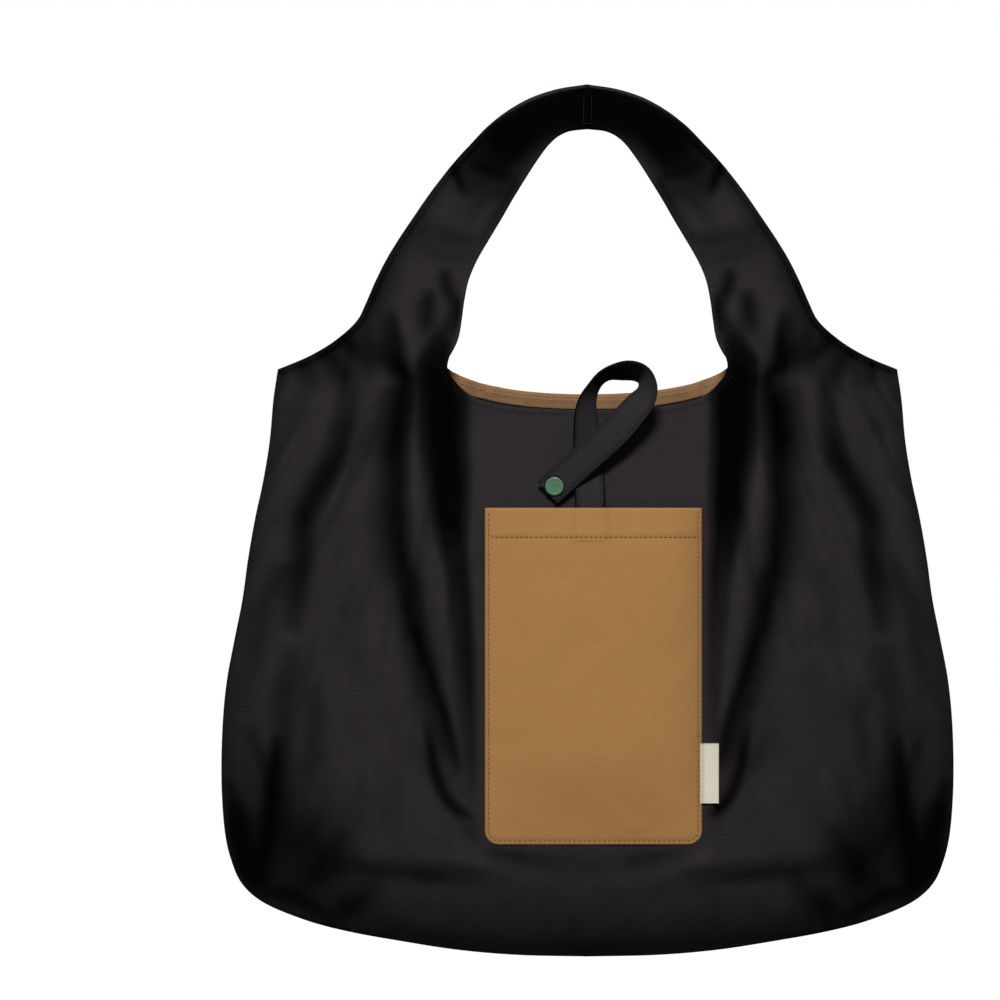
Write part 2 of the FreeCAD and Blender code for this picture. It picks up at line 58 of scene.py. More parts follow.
HANDLE_OUT = [(0, 0.9), (19.7, -2.3), (36.3, -7.7), (46.7, -13.0), (55.0, -18.3), (62.0, -23.7),
              (68.0, -29.0), (78.0, -39.7), (87.7, -50.3), (100.3, -66.3), (108.0, -77.0), (117.0, -90.3),
              (126.0, -103.7), (134.0, -117.0), (140.7, -130.3), (148.0, -147.0), (153.0, -157.0)]
HANDLE_IN = [(0, -29.8), (12.0, -31.2), (19.0, -34.3), (25.3, -39.7), (33.3, -50.3), (43.7, -66.3), (50.3, -77.0),
             (58.0, -90.3), (66.0, -103.7), (73.7, -117.0), (79.3, -130.3), (82.7, -147.0), (84.0, -157.0),
             (86.5, -170.0), (92.5, -182.0)]
ARMHOLE = [(167.3, -170.3), (185.0, -181.0), CORNER]
SIDE = [CORNER, (209.3, -210.3), (211.7, -237.0), (216.0, -263.7), (221.7, -290.3),
        (226.3, -317.0), (230.0, -343.7), (235.3, -370.3), (240.3, -397.0), (243.0, -423.7), (244.0, -457.0),
        (243.0, -483.7), (240.7, -503.7), (237.3, -517.0), (231.0, -531.5), (218.3, -543.7), (188.0, -557.0),
        (160.0, -564.5), (125.7, -570.8), (85.3, -577.0), (45.7, -580.3), (0, -581.3)]
NECK_FRONT = [(93.5, -190.0), (87.0, -200.0), (77.5, -207.5), (65.0, -212.3), (45.0, -215.5), (20.0, -216.9), (0, -217.2)]
NECK_BACK = [(95.0, -186.5), (88.0, -193.0), (78.0, -197.5), (68.0, -200.2), (45.0, -204.3), (20.0, -206.3), (0, -206.8)]
BELLY = [(60.0, 10.0), (-147.0, 12.0), (-170.0, 19.0), (-190.0, 25.0), (-216.0, 31.0), (-250.0, 38.0),
         (-285.0, 44.5), (-320.0, 46.0), (-450.0, 46.0), (-700.0, 46.0)]
LEAN = [(-40.0, 1.27), (0.0, 1.27), (35.0, 0.86), (60.0, 0.5), (85.0, 0.2), (110.0, 0.0), (200.0, 0.0)]


# ---- curves and fields ---------------------------------------------------------------------
def smooth(a):
    a = np.clip(a, 0.0, 1.0)
    return a * a * (3 - 2 * a)


def table(points):
    """Monotone cubic through the points, as a function of arrays."""
    t = np.array(sorted(points), float)
    xs, ys = t[:, 0], t[:, 1]
    d = np.diff(ys) / np.diff(xs)
    m = np.zeros(len(xs))
    m[0], m[-1] = d[0], d[-1]
    for i in range(1, len(xs) - 1):
        m[i] = 0.0 if d[i - 1] * d[i] <= 0 else 2 * d[i - 1] * d[i] / (d[i - 1] + d[i])

    def f(key):
        key = np.clip(np.asarray(key, float), xs[0], xs[-1])
        i = np.clip(np.searchsorted(xs, key) - 1, 0, len(xs) - 2)
        h = xs[i + 1] - xs[i]
        s = (key - xs[i]) / h
        return ((1 + 2 * s) * (1 - s) ** 2 * ys[i] + s * (1 - s) ** 2 * h * m[i]
                + s * s * (3 - 2 * s) * ys[i + 1] + s * s * (s - 1) * h * m[i + 1])
    return f


half_width = table([(z, x) for x, z in SIDE if z > -540] + [(-560.0, 226.0), (-620.0, 215.0), (-100.0, 206.0), (100.0, 206.0)])
bottom_of = table([(x, z) for x, z in SIDE if z < -543] + [(232.0, -533.0), (244.0, -520.0), (300.0, -500.0)])
belly_of = table(BELLY)
lean_of = table(LEAN)


def resample(points, step, closed=False):
    """Points every step along a smooth curve through the given points."""
    p = np.array(points, float)
    if closed:
        p = np.vstack([p[-1], p, p[0], p[1]])
    else:
        p = np.vstack([2 * p[0] - p[1], p, 2 * p[-1] - p[-2]])
    out = []
    for i in range(1, len(p) - 2):
        a, b, c, d = p[i - 1], p[i], p[i + 1], p[i + 2]
        ta, tb, tc = [max(np.linalg.norm(q - r), 1e-6) ** 0.5 for q, r in ((b, a), (c, b), (d, c))]
        m1 = (c - b) + tb * ((b - a) / ta - (c - a) / (ta + tb))
        m2 = (c - b) + tb * ((d - c) / tc - (d - b) / (tb + tc))
        for s in np.linspace(0, 1, 12, endpoint=False):
            out.append((2 * s ** 3 - 3 * s * s + 1) * b + (s ** 3 - 2 * s * s + s) * m1 + (-2 * s ** 3 + 3 * s * s) * c + (s ** 3 - s * s) * m2)
    if not closed:
        out.append(p[-2])
    out = np.array(out)
    if closed:
        out = np.vstack([out, out[0]])
    l = np.r_[0, np.cumsum(np.linalg.norm(np.diff(out, axis=0), axis=1))]
    n = max(2, int(round(l[-1] / step)))
    t = np.linspace(0, l[-1], n + 1)
    res = np.stack([np.interp(t, l, out[:, k]) for k in range(out.shape[1])], 1)
    return res[:-1] if closed else res


def offset(points, d):
    """Points moved d to the left of the direction of travel."""
    p = np.asarray(points, float)
    t = np.gradient(p, axis=0)
    t /= np.maximum(np.linalg.norm(t, axis=1), 1e-9)[:, None]
    return p + np.stack([-t[:, 1], t[:, 0]], 1) * d


def mirrored(points):
    p = np.asarray(points, float)[::-1].copy()
    p[:, 0] *= -1
    return p


def to_line(X, Z, pts):
    """Distance from points to a polyline, which side they are on, and where along it (0 to 1)."""
    pts = np.asarray(pts, float)
    best = np.full(X.shape, 1e9)
    side = np.ones(X.shape)
    where = np.zeros(X.shape)
    seg = np.linalg.norm(np.diff(pts[:, :2], axis=0), axis=1)
    cum = np.r_[0, np.cumsum(seg)]
    for i in range(len(pts) - 1):
        ax, az = pts[i, 0], pts[i, 1]
        dx, dz = pts[i + 1, 0] - ax, pts[i + 1, 1] - az
        t = np.clip(((X - ax) * dx + (Z - az) * dz) / max(dx * dx + dz * dz, 1e-9), 0, 1)
        px, pz = X - ax - t * dx, Z - az - t * dz
        d = np.hypot(px, pz)
        k = d < best
        best[k] = d[k]
        side[k] = np.where(dx * pz - dz * px <= 0, 1.0, -1.0)[k]
        where[k] = ((cum[i] + t * seg[i]) / cum[-1])[k]
    return best, side, where


def body_depth(X, Z):
    u = np.clip(np.abs(X) / half_width(Z), 0, 1.05)
    v = np.clip((Z - bottom_of(np.abs(X))) / 130.0, -0.05, 1)
    side = np.maximum(1 - u ** 2.6, -0.02)
    low = np.maximum(1 - np.maximum(1 - v, 0) ** 4.2, -0.02)
    d = EDGE_DEPTH + (belly_of(Z) - EDGE_DEPTH) * side * low
    s = smooth((Z + 185.0) / 38.0)
    keep = smooth((np.abs(X) - 150.0) / 50.0)
    return d + (Y_HANDLE - d) * s * (1 - keep)


IN_LINE = [(-12.0, -31.2)] + HANDLE_IN


def handle_depth(X, Z):
    q = smooth((Z + 95.0) / 70.0)
    d, s, _ = to_line(np.abs(X), Z, IN_LINE)
    rise = -d * s
    return Y_HANDLE + (TOP_DEPTH + lean_of(np.abs(X)) * np.clip(rise, -6.0, 60.0) - Y_HANDLE) * q


def fbm(X, Z, sx, sz, seed, octaves=3):
    out = np.zeros(len(X))
    for i, (x, z) in enumerate(zip(X, Z)):
        out[i] = noise.fractal(Vector((x / sx, seed * 7.13, z / sz)), 0.9, 2.1, octaves, noise_basis='PERLIN_ORIGINAL')
    return out


# Folds of the hanging cloth. Each line: how deep (mm, negative stands proud), how much painted shade darkens the
# crease, profile power, then points (x, z, share of the depth, half width). They are mirrored about the bag's middle.
# Lines with no depth are painted shade only.
FOLDS = [
    # deep pleat beside the flat centre, from the handle base down to the pocket's edge
    (15.0, 0.99, 3.4, [(98, -176, .25, 6), (100, -184, .7, 9), (99.5, -198, 1, 11), (95.5, -212, 1, 13.0), (95, -226, 1, 13.0), (94.5, -238, 1, 12.0),
                       (92.5, -254, 1, 10.8), (91, -270, .96, 10), (90, -290, .9, 8.6), (89, -305, .75, 7.2), (86.5, -320, .55, 6.2), (84.5, -338, .38, 6), (83, -360, .3, 6),
                       (80, -384, .24, 6), (78.5, -410, .2, 6), (76.5, -437, .14, 6), (74, -460, .08, 6), (73, -480, .0, 6)]),
    (-4.2, 0.0, 2.0, [(110, -172, .2, 7), (111, -196, .8, 6.5), (113, -224, 1, 6.5), (116.5, -252, 1, 7), (116, -272, 1, 7.5), (112, -302, .9, 8),
                      (106, -330, .8, 9), (102, -357, .6, 9), (96, -384, .5, 9), (91, -412, .45, 9), (86, -440, .35, 8), (83, -462, .3, 8), (82, -478, .1, 8)]),
    (1.4, 0.6, 2.0, [(85, -322, .3, 3.4), (83, -338, .9, 3.6), (80.5, -370, 1, 3.6), (79, -395, 1, 3.4), (77.5, -420, .8, 3.2), (76, -446, .5, 3), (74.5, -470, .1, 3)]),
    # second pleat
    (9.0, 0.95, 1.7, [(133, -150, .05, 5), (131, -158, .5, 5.5), (129, -168, .75, 6), (128, -176, .75, 6.5), (127, -186, .9, 6.5), (120.5, -197, .8, 6), (122.5, -210, .95, 8.5), (125, -225, .95, 9), (127, -245, .95, 8.8), (127, -264, .8, 8), (127.5, -284, .85, 8.5),
                     (126, -304, .8, 8.5), (124, -320, .75, 8.5), (118, -334, .7, 8), (114, -357, .65, 7.5), (108, -383, .6, 7), (101.5, -410, .6, 6.5), (96, -428, .6, 6), (92.5, -443, .45, 6), (90, -456, .1, 6)]),
    (-2.6, 0.0, 2.0, [(139, -196, 0, 9), (146, -224, .7, 11), (152, -252, 1, 13), (156, -284, 1, 16), (158, -330, 1, 20), (146, -380, .8, 20), (126, -410, .6, 15), (112, -437, .6, 12), (106, -458, .2, 10)]),
    # third pleat, swinging out towards the side
    (7.0, 0.90, 1.6, [(160, -196, .2, 6), (161, -212, .25, 6), (164, -236, .65, 6.5), (168, -250, .9, 7), (176, -263, 1.05, 7.5), (184, -277, 1.05, 8), (189.5, -290, 1, 8), (190.5, -304, .8, 7.5),
                      (191, -317, .95, 7.5), (193.5, -330, .9, 7.5), (196, -344, .6, 7.5), (198, -357, .3, 7), (200, -366, 0, 7)]),
    (2.6, 0.22, 1.5, [(186, -196, 0, 5), (192, -210, .7, 5.5), (195, -224, .8, 6), (196, -236, 0, 6)]),
    # creases by the side seam
    (3.8, 0.42, 1.5, [(206, -318, 0, 6), (207, -331, .8, 7), (215, -344, 1, 7), (219, -357, 1, 7), (223, -383, .9, 7), (227.5, -398, .8, 7), (230, -412, .5, 7), (233, -428, .1, 7)]),
    (3.0, 0.62, 1.9, [(197, -372, 0, 7), (197, -386, .6, 7), (200, -400, .8, 7), (203, -414, .7, 7), (204, -432, .8, 6.5), (205, -448, 1.3, 6.5), (206, -464, 1.9, 7), (206.5, -478, 2.2, 8), (209, -492, 2.3, 9.5),
                     (212, -506, 2.0, 11), (214, -520, 1.6, 11), (217, -532, .9, 9), (219, -542, .2, 7)]),
    (2.6, 0.4, 1.5, [(182, -398, 0, 6), (183, -410, .5, 6), (181, -424, 1, 6), (182, -437, .9, 6), (183, -450, .9, 6), (186, -462, .3, 6), (187, -470, 0, 6)]),
    # short sharp creases beside the pocket's lower corners
    (4.0, 0.86, 2.2, [(107, -426, .1, 2.4), (104.5, -440, .8, 3.0), (102.5, -453, 1, 3.3), (99.6, -464, 1, 3.6), (94, -476, 1, 3.6), (87, -483.5, .9, 3.3), (78, -488, .2, 2.8)]),
    (1.4, 0.66, 2.0, [(126, -300, .1, 3), (120, -350, .8, 3.2), (107, -387, 1, 3.2), (99.5, -407, 1, 3), (93.5, -424, 1, 2.8), (88.5, -446, .6, 2.6), (86, -458, 0, 2.4)]),
    (2.2, 0.25, 1.6, [(120, -432, 0, 4), (113, -446, .7, 5), (109, -456, .8, 5), (104, -462, .2, 5)]),
    # bottom corners and folds under the pocket
    (6.0, 0.8, 1.5, [(236, -478, .0, 6), (234, -488, .8, 8), (231, -502, 1, 9), (229, -516, 1, 9), (224, -528, .8, 8), (216, -536, .2, 7)]),
    (3.0, 0.42, 1.5, [(196, -536, .2, 6), (190, -528, .8, 7), (186, -516, 1, 8), (184, -504, .8, 8), (180, -492, .2, 7)]),
    (3.0, 0.55, 1.5, [(158, -494, .1, 6), (163, -503, .7, 7), (170, -513, 1, 7), (176, -524, .9, 7), (188, -536, .5, 7), (204, -544, .2, 6)]),
    (3.2, 0.5, 1.5, [(134, -530, 0, 6), (142, -536, .7, 7), (150, -546, 1, 7), (160, -555, 1, 7), (170, -562, .5, 6)]),
    (-2.4, 0.0, 2.0, [(152, -520, 0, 7), (160, -534, 1, 7), (170, -546, 1, 7), (182, -552, .4, 7)]),
    (2.4, 0.34, 1.5, [(66, -535, 0, 5), (78, -533.5, .5, 5), (92, -531, 1, 5.5), (106, -529, 1, 6), (120, -526, .7, 6), (134, -520, .2, 6)]),
    (2.0, 0.42, 1.6, [(86, -487, .3, 4), (73, -502, .8, 5), (58, -511, 1, 5.5), (40, -517, .8, 6), (20, -520, .4, 6), (4, -521, .2, 6)]),
    (-2.0, 0.0, 2.0, [(98, -500, .3, 7), (80, -514, 1, 7), (56, -526, 1, 8), (25, -532, .6, 8)]),
    (-1.8, 0.0, 2.0, [(58, -521, 0, 5), (74, -520, 1, 5), (94, -517, 1, 5), (112, -514, .6, 5), (126, -510, 0, 5)]),
    # sharp creases in the lower corners, painted black with shade
    (1.6, 0.84, 2.0, [(207.5, -436, .2, 2.8), (208.5, -456, .9, 3.8), (210.5, -484, 1, 5.0), (214, -508, 1, 5.0), (218.5, -526, .6, 4.2), (221, -534, .1, 3.5)]),
    (1.8, 0.88, 2.0, [(239, -466, .3, 3.6), (235.5, -482, 1, 5.2), (232, -500, 1, 6.2), (228, -516, 1, 6.0), (221, -530, .6, 5.0)]),
    (1.5, 0.72, 2.0, [(214, -540, .3, 3.5), (205, -539, .9, 4.5), (193, -543, 1, 4.8), (182, -549, .8, 4.4), (172, -555, .2, 3.5)]),
    (1.2, 0.5, 2.0, [(226, -430, .1, 3), (219, -446, .8, 3.4), (212, -470, .7, 3.4), (206, -492, .6, 4), (196, -508, .2, 4)]),
    # the corners and the sides turn away below, with painted shade where they turn; more lines of painted shade along
    # the side edges, over the handle tops, on the straps just below them and by the armholes
    (1.0, 0.64, 2.6, [(238, -425, .0, 16), (236, -445, .12, 20), (232, -462, .3, 26), (225, -478, .55, 30), (217, -496, .85, 34), (208, -514, 1, 37), (197, -530, 1, 34), (181, -545, .95, 27), (161, -557, .8, 19), (138, -567, .5, 13), (104, -574, .3, 9), (60, -578, .25, 7), (0, -580, .25, 7)]),
    (0.6, 0.22, 2.0, [(214, -418, .0, 12), (213, -432, .4, 16), (211, -448, .8, 19), (206, -466, 1, 22), (198, -486, 1, 24), (190, -505, .8, 24), (182, -520, .2, 20)]),
    (2.8, 0.52, 1.6, [(166, -519, .5, 7), (158, -522, 1, 7.5), (150, -524.5, 1, 7), (140, -526, 1, 6.5), (130, -527.2, .8, 5.5), (118, -528, .45, 5), (104, -529, .2, 4.6), (92, -530, .0, 4)]),
    (0.0, 0.55, 2.0, [(213, -200, .6, 8), (213, -235, .8, 8), (220, -270, .85, 8), (228, -310, .8, 8), (238, -365, .75, 8), (243, -420, .7, 8), (245, -470, .7, 8)]),
    (0.0, 0.985, 4.0, [(0, -16, 1, 13), (15, -17, 1, 13), (30, -22, 1, 13.5), (44, -31, 1, 14), (55, -41, .95, 14.5), (64, -51, .45, 13), (71, -60, .12, 12)]),
    (0.6, 0.62, 2.0, [(58, -48, 1, 14), (68, -58, 1, 15), (76, -68, .7, 12), (82, -80, .1, 9)]),
    (0.8, 0.55, 2.0, [(48, -68, .8, 5), (54, -80, 1, 6), (60, -90, .8, 6), (66, -99, .2, 5)]),
    (0.0, 0.45, 2.0, [(140, -176, .6, 9), (150, -177, 1, 12), (162, -180, 1, 12), (174, -186, .8, 10), (186, -193, .1, 8)]),
    # armhole: short radiating creases
    (4.2, 0.72, 1.5, [(163, -168, .8, 5), (160, -174, 1, 5), (152, -180, .7, 5.5), (146, -190, .2, 6)]),
    (3.4, 0.55, 1.5, [(178, -178, .8, 4.5), (170, -186, 1, 5), (166, -194, .9, 5), (162, -204, .1, 6)]),
    (2.8, 0.5, 1.5, [(190, -185, .8, 4.5), (187, -194, 1, 5), (182, -202, .3, 6)]),
    (3.0, 0.48, 1.5, [(147, -160, .3, 5), (146, -170, .9, 5), (141, -182, .5, 6), (138, -192, 0, 6)]),
    # pleats gathered at the inner end of the handle base
    (5.2, 0.88, 1.6, [(93.5, -122, 0, 3.5), (95, -130, .8, 4), (93, -138, .9, 4), (89.5, -144, .9, 4), (88, -152, .8, 4), (91, -160, .8, 5), (96, -168, .8, 6), (99.5, -178, .8, 7)]),
    (3.2, 0.75, 1.5, [(106, -136, 0, 4), (105.5, -144, .9, 4.2), (106.5, -152, .8, 4.5), (108, -160, .5, 5), (112, -170, .1, 5)]),
    (2.4, 0.35, 1.5, [(112, -143, 0, 4), (111, -152, .6, 4.5), (108, -158, .8, 5), (103, -164, .5, 5)]),
    # cross creases on the straps
    (1.8, 0.52, 1.6, [(72, -103, .3, 5), (80, -105, 1, 6), (90, -104.5, 1, 7), (102, -102, .8, 8), (114, -99, .5, 8), (122, -97, .2, 6)]),
    (1.3, 0.2, 1.5, [(78, -118, .3, 5), (90, -119, 1, 5), (102, -115, .8, 5), (116, -112, .1, 5)]),
    (-1.4, 0.0, 2.0, [(76, -111, .5, 4), (90, -112, 1, 4), (104, -108, .8, 4), (116, -104, .1, 4)]),
    (2.4, 0.96, 2.2, [(90.5, -52, .8, 2.6), (87.5, -58, 1, 3.2), (85, -66, .9, 3.0), (81, -75, .1, 2.6)]),
    (1.6, 0.35, 1.5, [(56, -72, .6, 4), (66, -77, 1, 4), (74, -84, .7, 4), (80, -94, .1, 4)]),
    (1.6, 0.5, 1.5, [(52, -62, .8, 3.5), (60, -61, .9, 4), (70, -57, .9, 4), (80, -52, .3, 4)]),
]
FOLDS_S = [(a, k, p, resample(np.array(pts, float), 5.0)) for a, k, p, pts in FOLDS]


def folds(X, Z, front):
    """Depth to take off the smooth cloth, and the painted shade of the crease there."""
    take, dark = np.zeros(len(X)), np.zeros(len(X))
    for i, (amp, painted_shade, power, pts) in enumerate(FOLDS_S):
        for side in (-1, 1):
            jitter = math.sin(i * 2.1 + (1.3 if side > 0 else 0) + (0 if front else 4.4))
            grow = 1 + 0.10 * jitter
            q = pts.copy()
            if side > 0:
                q[:, 0] += 0.9 * jitter
            if not front:
                q[:, 0] = q[:, 0] * (0.93 + 0.05 * jitter) if i < 6 else q[:, 0] + 4 * jitter
                q[:, 1] += 8 * jitter if i >= 6 else 0
                grow *= 0.72
            lo, hi = q[:, :2].min(0) - 34, q[:, :2].max(0) + 34
            near = (X * side > lo[0]) & (X * side < hi[0]) & (Z > lo[1]) & (Z < hi[1])
            if not near.any():
                continue
            d, inner, t = to_line(X[near] * side, Z[near], q[:, :2])
            l = np.r_[0, np.cumsum(np.linalg.norm(np.diff(q[:, :2], axis=0), axis=1))]
            share = np.interp(t, l / l[-1], q[:, 2])
            w = np.interp(t, l / l[-1], q[:, 3])
            if i == 3:
                w = w * np.where(inner > 0, 0.76, 1.42)
            elif i == 0:
                w = w * np.where(inner > 0, 1.0, 1.22)
            take[near] += amp * grow * np.exp(-(d / w) ** power) * share
            pw = max(power + 0.4, 2.2) + (1.6 if i == 0 else 0.0)
            if i in (3, 5):
                pw = pw + 1.3 * (inner > 0)
            soft = np.exp(-(d / (w * 1.28)) ** pw) * np.clip(share, 0, 1) ** 0.5
            dark[near] = 1 - (1 - dark[near]) * (1 - np.clip(painted_shade * min(grow, 1.02) * soft, 0, 0.985))
    return take, dark


EDGE_IN = {True: resample(HANDLE_IN + NECK_FRONT, 3.0), False: resample(HANDLE_IN + NECK_BACK, 3.0)}


def out_points(front):
    """Outer edge of the handle; the front loop's top sits a little lower than the back loop's."""
    pts = []
    for x, z in HANDLE_OUT:
        low = 3.9 * (1 - float(smooth((abs(x) - 30) / 78.0))) if front else 0.0
        pts.append((x, z - low))
    return pts


EDGE_OUT = {f: resample(out_points(f) + ARMHOLE, 3.0) for f in (True, False)}
EDGE_SIDE = resample(SIDE, 3.0)


def cloth_depth(X, Z, front, detail=True):
    """Depth of the cloth's outer face, and the painted shade of its creases, wrinkles, rolled edges, grooves and seam.
    """
    X, Z = np.asarray(X, float), np.asarray(Z, float)
    d = np.where(Z > Z_HINGE, handle_depth(X, Z), body_depth(X, Z))
    take, dark = folds(X, Z, front)
    ax = np.abs(X)
    # the cloth behind the pocket and in the middle stays flat, and the sides and the seam stay shut
    flat = 1.0
    if front:
        flat = smooth((np.maximum(np.maximum(PX0 - X, X - PX1), np.maximum(PZ0 - Z, Z - (-215))) - 1.0) / 9.0)
    room = np.clip((d - 2.0) / 9.0, 0, 1)
    d = d - np.clip(take, -6, 24) * flat * np.minimum(room, 1)
    dark = dark * flat
    if detail:
        body = smooth((-150 - Z) / 40.0)
        low = fbm(X, Z, 60, 120, 1.0 if front else 2.0)
        high = fbm(X, Z, 17, 26, 3.0 if front else 4.0)
        calm = 0.35 + 0.65 * flat
        # fine wrinkles that fan out from the handle bases, with painted shade in their valleys
        fan = (ax - 75.0) / np.interp(-Z, [150, 200, 260, 350, 450, 560], [62, 66, 84, 128, 160, 170])
        flow = fbm(fan * 9.0 + np.where(X > 0, 31.0, 0.0), Z / 95.0, 1.0, 1.0, 5.0 if front else 6.0, 3)
        sharp = np.abs(flow) * 2 - 0.35
        reach = body * np.interp(-Z, [150, 200, 330, 430, 540], [1.0, 1.0, 0.8, 0.45, 0.3]) * smooth((ax - 74) / 14.0 if front else (ax - 20) / 50.0) * flat
        d = d + (flow * 1.5 - np.clip(sharp, 0, 1) * 0.8) * reach * room
        dark = 1 - (1 - dark) * (1 - np.clip(-flow * 0.55 + 0.03, 0, 0.34) * reach)
        d = d + (low * 2.3 * body + high * (0.42 + 0.35 * body)) * room * calm
        # painted shade in the small dips of the fine unevenness
        dark = np.clip(dark + np.clip(-high * 0.12, 0, 0.14) * calm, 0, 0.985)
    # turned and stitched edges: puffed rim, groove under the stitches
    e_in = to_line(ax, Z, EDGE_IN[front][::2])[0]
    e_out = to_line(ax, Z, EDGE_OUT[front][::2])[0]
    e = np.minimum(e_in, e_out)
    # the loops' outer edges roll back, with painted shade where they turn away
    base = np.exp(-((Z + 138) / 26.0) ** 2)
    roll = np.exp(-(e_out / (8.5 + 3.5 * base)) ** 2) * smooth((ax - 30) / 40.0)
    d = d - roll * 2.0 * smooth((168 - ax) / 20.0)
    dark = 1 - (1 - dark) * (1 - (0.62 + 0.2 * base) * roll)
    groove = np.exp(-((e - 3.7) / 0.9) ** 2) * 0.42
    rim = np.exp(-(e / 1.3) ** 2) * -0.55 + smooth((4.2 - e) / 3.0) * 0.38
    d = d + rim - groove
    # painted shade in the groove under the stitches
    dark = np.clip(dark + np.exp(-((e - 3.7) / 0.8) ** 2) * 0.25, 0, 0.985)
    # the sewn seam at the top of each handle, with painted shade along it
    top = smooth((Z + 40) / 8.0)
    d = d - np.exp(-(X / 0.8) ** 2) * 0.8 * top + smooth((5 - ax) / 2.5) * 0.35 * top
    dark = np.clip(dark + np.exp(-(X / 0.9) ** 2) * 0.5 * top, 0, 0.985)
    return np.maximum(d, 1.0), dark


# ---- mesh helpers --------------------------------------------------------------------------
def inside(X, Z, poly):
    c = np.zeros(len(X), bool)
    n = len(poly)
    for i in range(n):
        x0, z0 = poly[i]
        x1, z1 = poly[(i + 1) % n]
        if z0 == z1:
            continue
        k = ((z0 > Z) != (z1 > Z)) & (X < (x1 - x0) * (Z - z0) / (z1 - z0) + x0)
        c ^= k
    return c


def triangulate(points, poly, holes=()):
    """Triangles on flat points, kept inside the outline and outside the holes."""
    vec = [Vector((float(x), float(z))) for x, z in points]
    res = delaunay_2d_cdt(vec, [], [], 0, 1e-5, False)
    P = np.array([(v.x, v.y) for v in res[0]])
    F = np.array([f for f in res[2] if len(f) == 3], int)
    c = P[F].mean(1)
    k = inside(c[:, 0], c[:, 1], poly)
    for h in holes:
        k &= ~inside(c[:, 0], c[:, 1], h)
    a, b, d = P[F[:, 0]], P[F[:, 1]], P[F[:, 2]]
    area = (b[:, 0] - a[:, 0]) * (d[:, 1] - a[:, 1]) - (b[:, 1] - a[:, 1]) * (d[:, 0] - a[:, 0])
    k &= np.abs(area) > 1e-3
    F, area = F[k], area[k]
    F[area < 0] = F[area < 0][:, ::-1]
    used = np.unique(F)
    new = np.full(len(P), -1)
    new[used] = np.arange(len(used))
    return P[used], new[F]


def normals(co, F):
    n = np.cross(co[F[:, 1]] - co[F[:, 0]], co[F[:, 2]] - co[F[:, 0]])
    v = np.zeros_like(co)
    for k in range(3):
        np.add.at(v, F[:, k], n)
    return v / np.maximum(np.linalg.norm(v, axis=1), 1e-12)[:, None]


def thicken(co, F, t):
    """Closed sheet from an open one: co is the outer face, t the thickness inwards (one value or one per point)."""
    n = normals(co, F)
    t = np.broadcast_to(np.asarray(t, float), (len(co),))
    N = len(co)
    e = np.concatenate([F[:, [0, 1]], F[:, [1, 2]], F[:, [2, 0]]])
    key = e[:, 0].astype(np.int64) * N + e[:, 1]
    rev = e[:, 1].astype(np.int64) * N + e[:, 0]
    rim = e[~np.isin(key, rev)]
    # rim points bulge a little outwards, so a turned edge is round
    ids = np.unique(rim)
    out = np.zeros_like(co)
    for a, b in rim:
        d = np.cross(co[b] - co[a], n[a])
        d /= max(np.linalg.norm(d), 1e-9)
        out[a] += d
        out[b] += d
    m = np.full(N, -1)
    m[ids] = 2 * N + np.arange(len(ids))
    o = out[ids]
    o /= np.maximum(np.linalg.norm(o, axis=1), 1e-9)[:, None]
    mid = co[ids] - n[ids] * (t[ids] * 0.5)[:, None] + o * (t[ids] * 0.38)[:, None]
    allc = np.vstack([co, co - n * t[:, None], mid])
    quads = []
    for a, b in rim:
        quads.append((b, a, m[a], m[b]))
        quads.append((m[b], m[a], a + N, b + N))
    faces = [tuple(f) for f in F] + [tuple(f) for f in (F[:, ::-1] + N)] + quads
    src = np.concatenate([np.arange(N), np.arange(N), ids])
    return allc, faces, src


def make(name, co_mm, faces, mat=None, uv=None, shade=None, smooth_on=True, auto=None):
    me = bpy.data.meshes.new(name)
    me.from_pydata((np.asarray(co_mm, float) * MM).tolist(), [], [tuple(int(i) for i in f) for f in faces])
    me.update()
    if uv is not None:
        layer = me.uv_layers.new(name="cloth")
        idx = np.zeros(len(me.loops), int)
        me.loops.foreach_get("vertex_index", idx)
        layer.data.foreach_set("uv", (np.asarray(uv, float)[idx] * 0.01).astype(np.float32).ravel())
    a = me.attributes.new("shade", "FLOAT", "POINT")
    a.data.foreach_set("value", (np.zeros(len(me.vertices)) if shade is None else np.asarray(shade)).astype(np.float32))
    me.polygons.foreach_set("use_smooth", [smooth_on] * len(me.polygons))
    ob = bpy.data.objects.new(name, me)
    bpy.context.scene.collection.objects.link(ob)
    if mat:
        me.materials.append(mat)
    return ob


def lattice(x0, x1, z0, z1, step):
    out, row, z = [], 0, z0
    while z <= z1:
        xs = np.arange(x0 + (step / 2 if row % 2 else 0), x1, step)
        out.append(np.stack([xs, np.full(len(xs), z)], 1))
        z += step * 0.866
        row += 1
    return np.vstack(out)


def loft_rows(rows_pts, closed_u=False):
    """Faces for rows of equal length (rows x cols)."""
    R, C = len(rows_pts), len(rows_pts[0])
    f = []
    for r in range(R - 1):
        for c in range(C if closed_u else C - 1):
            a, b = r * C + c, r * C + (c + 1) % C
            f.append((a, b, b + C, a + C))
    return f


# ---- materials -----------------------------------------------------------------------------
def lin(c):
    return tuple(((v / 255.0) / 12.92 if v / 255.0 <= 0.04045 else ((v / 255.0 + 0.055) / 1.055) ** 2.4) for v in c) + (1.0,)


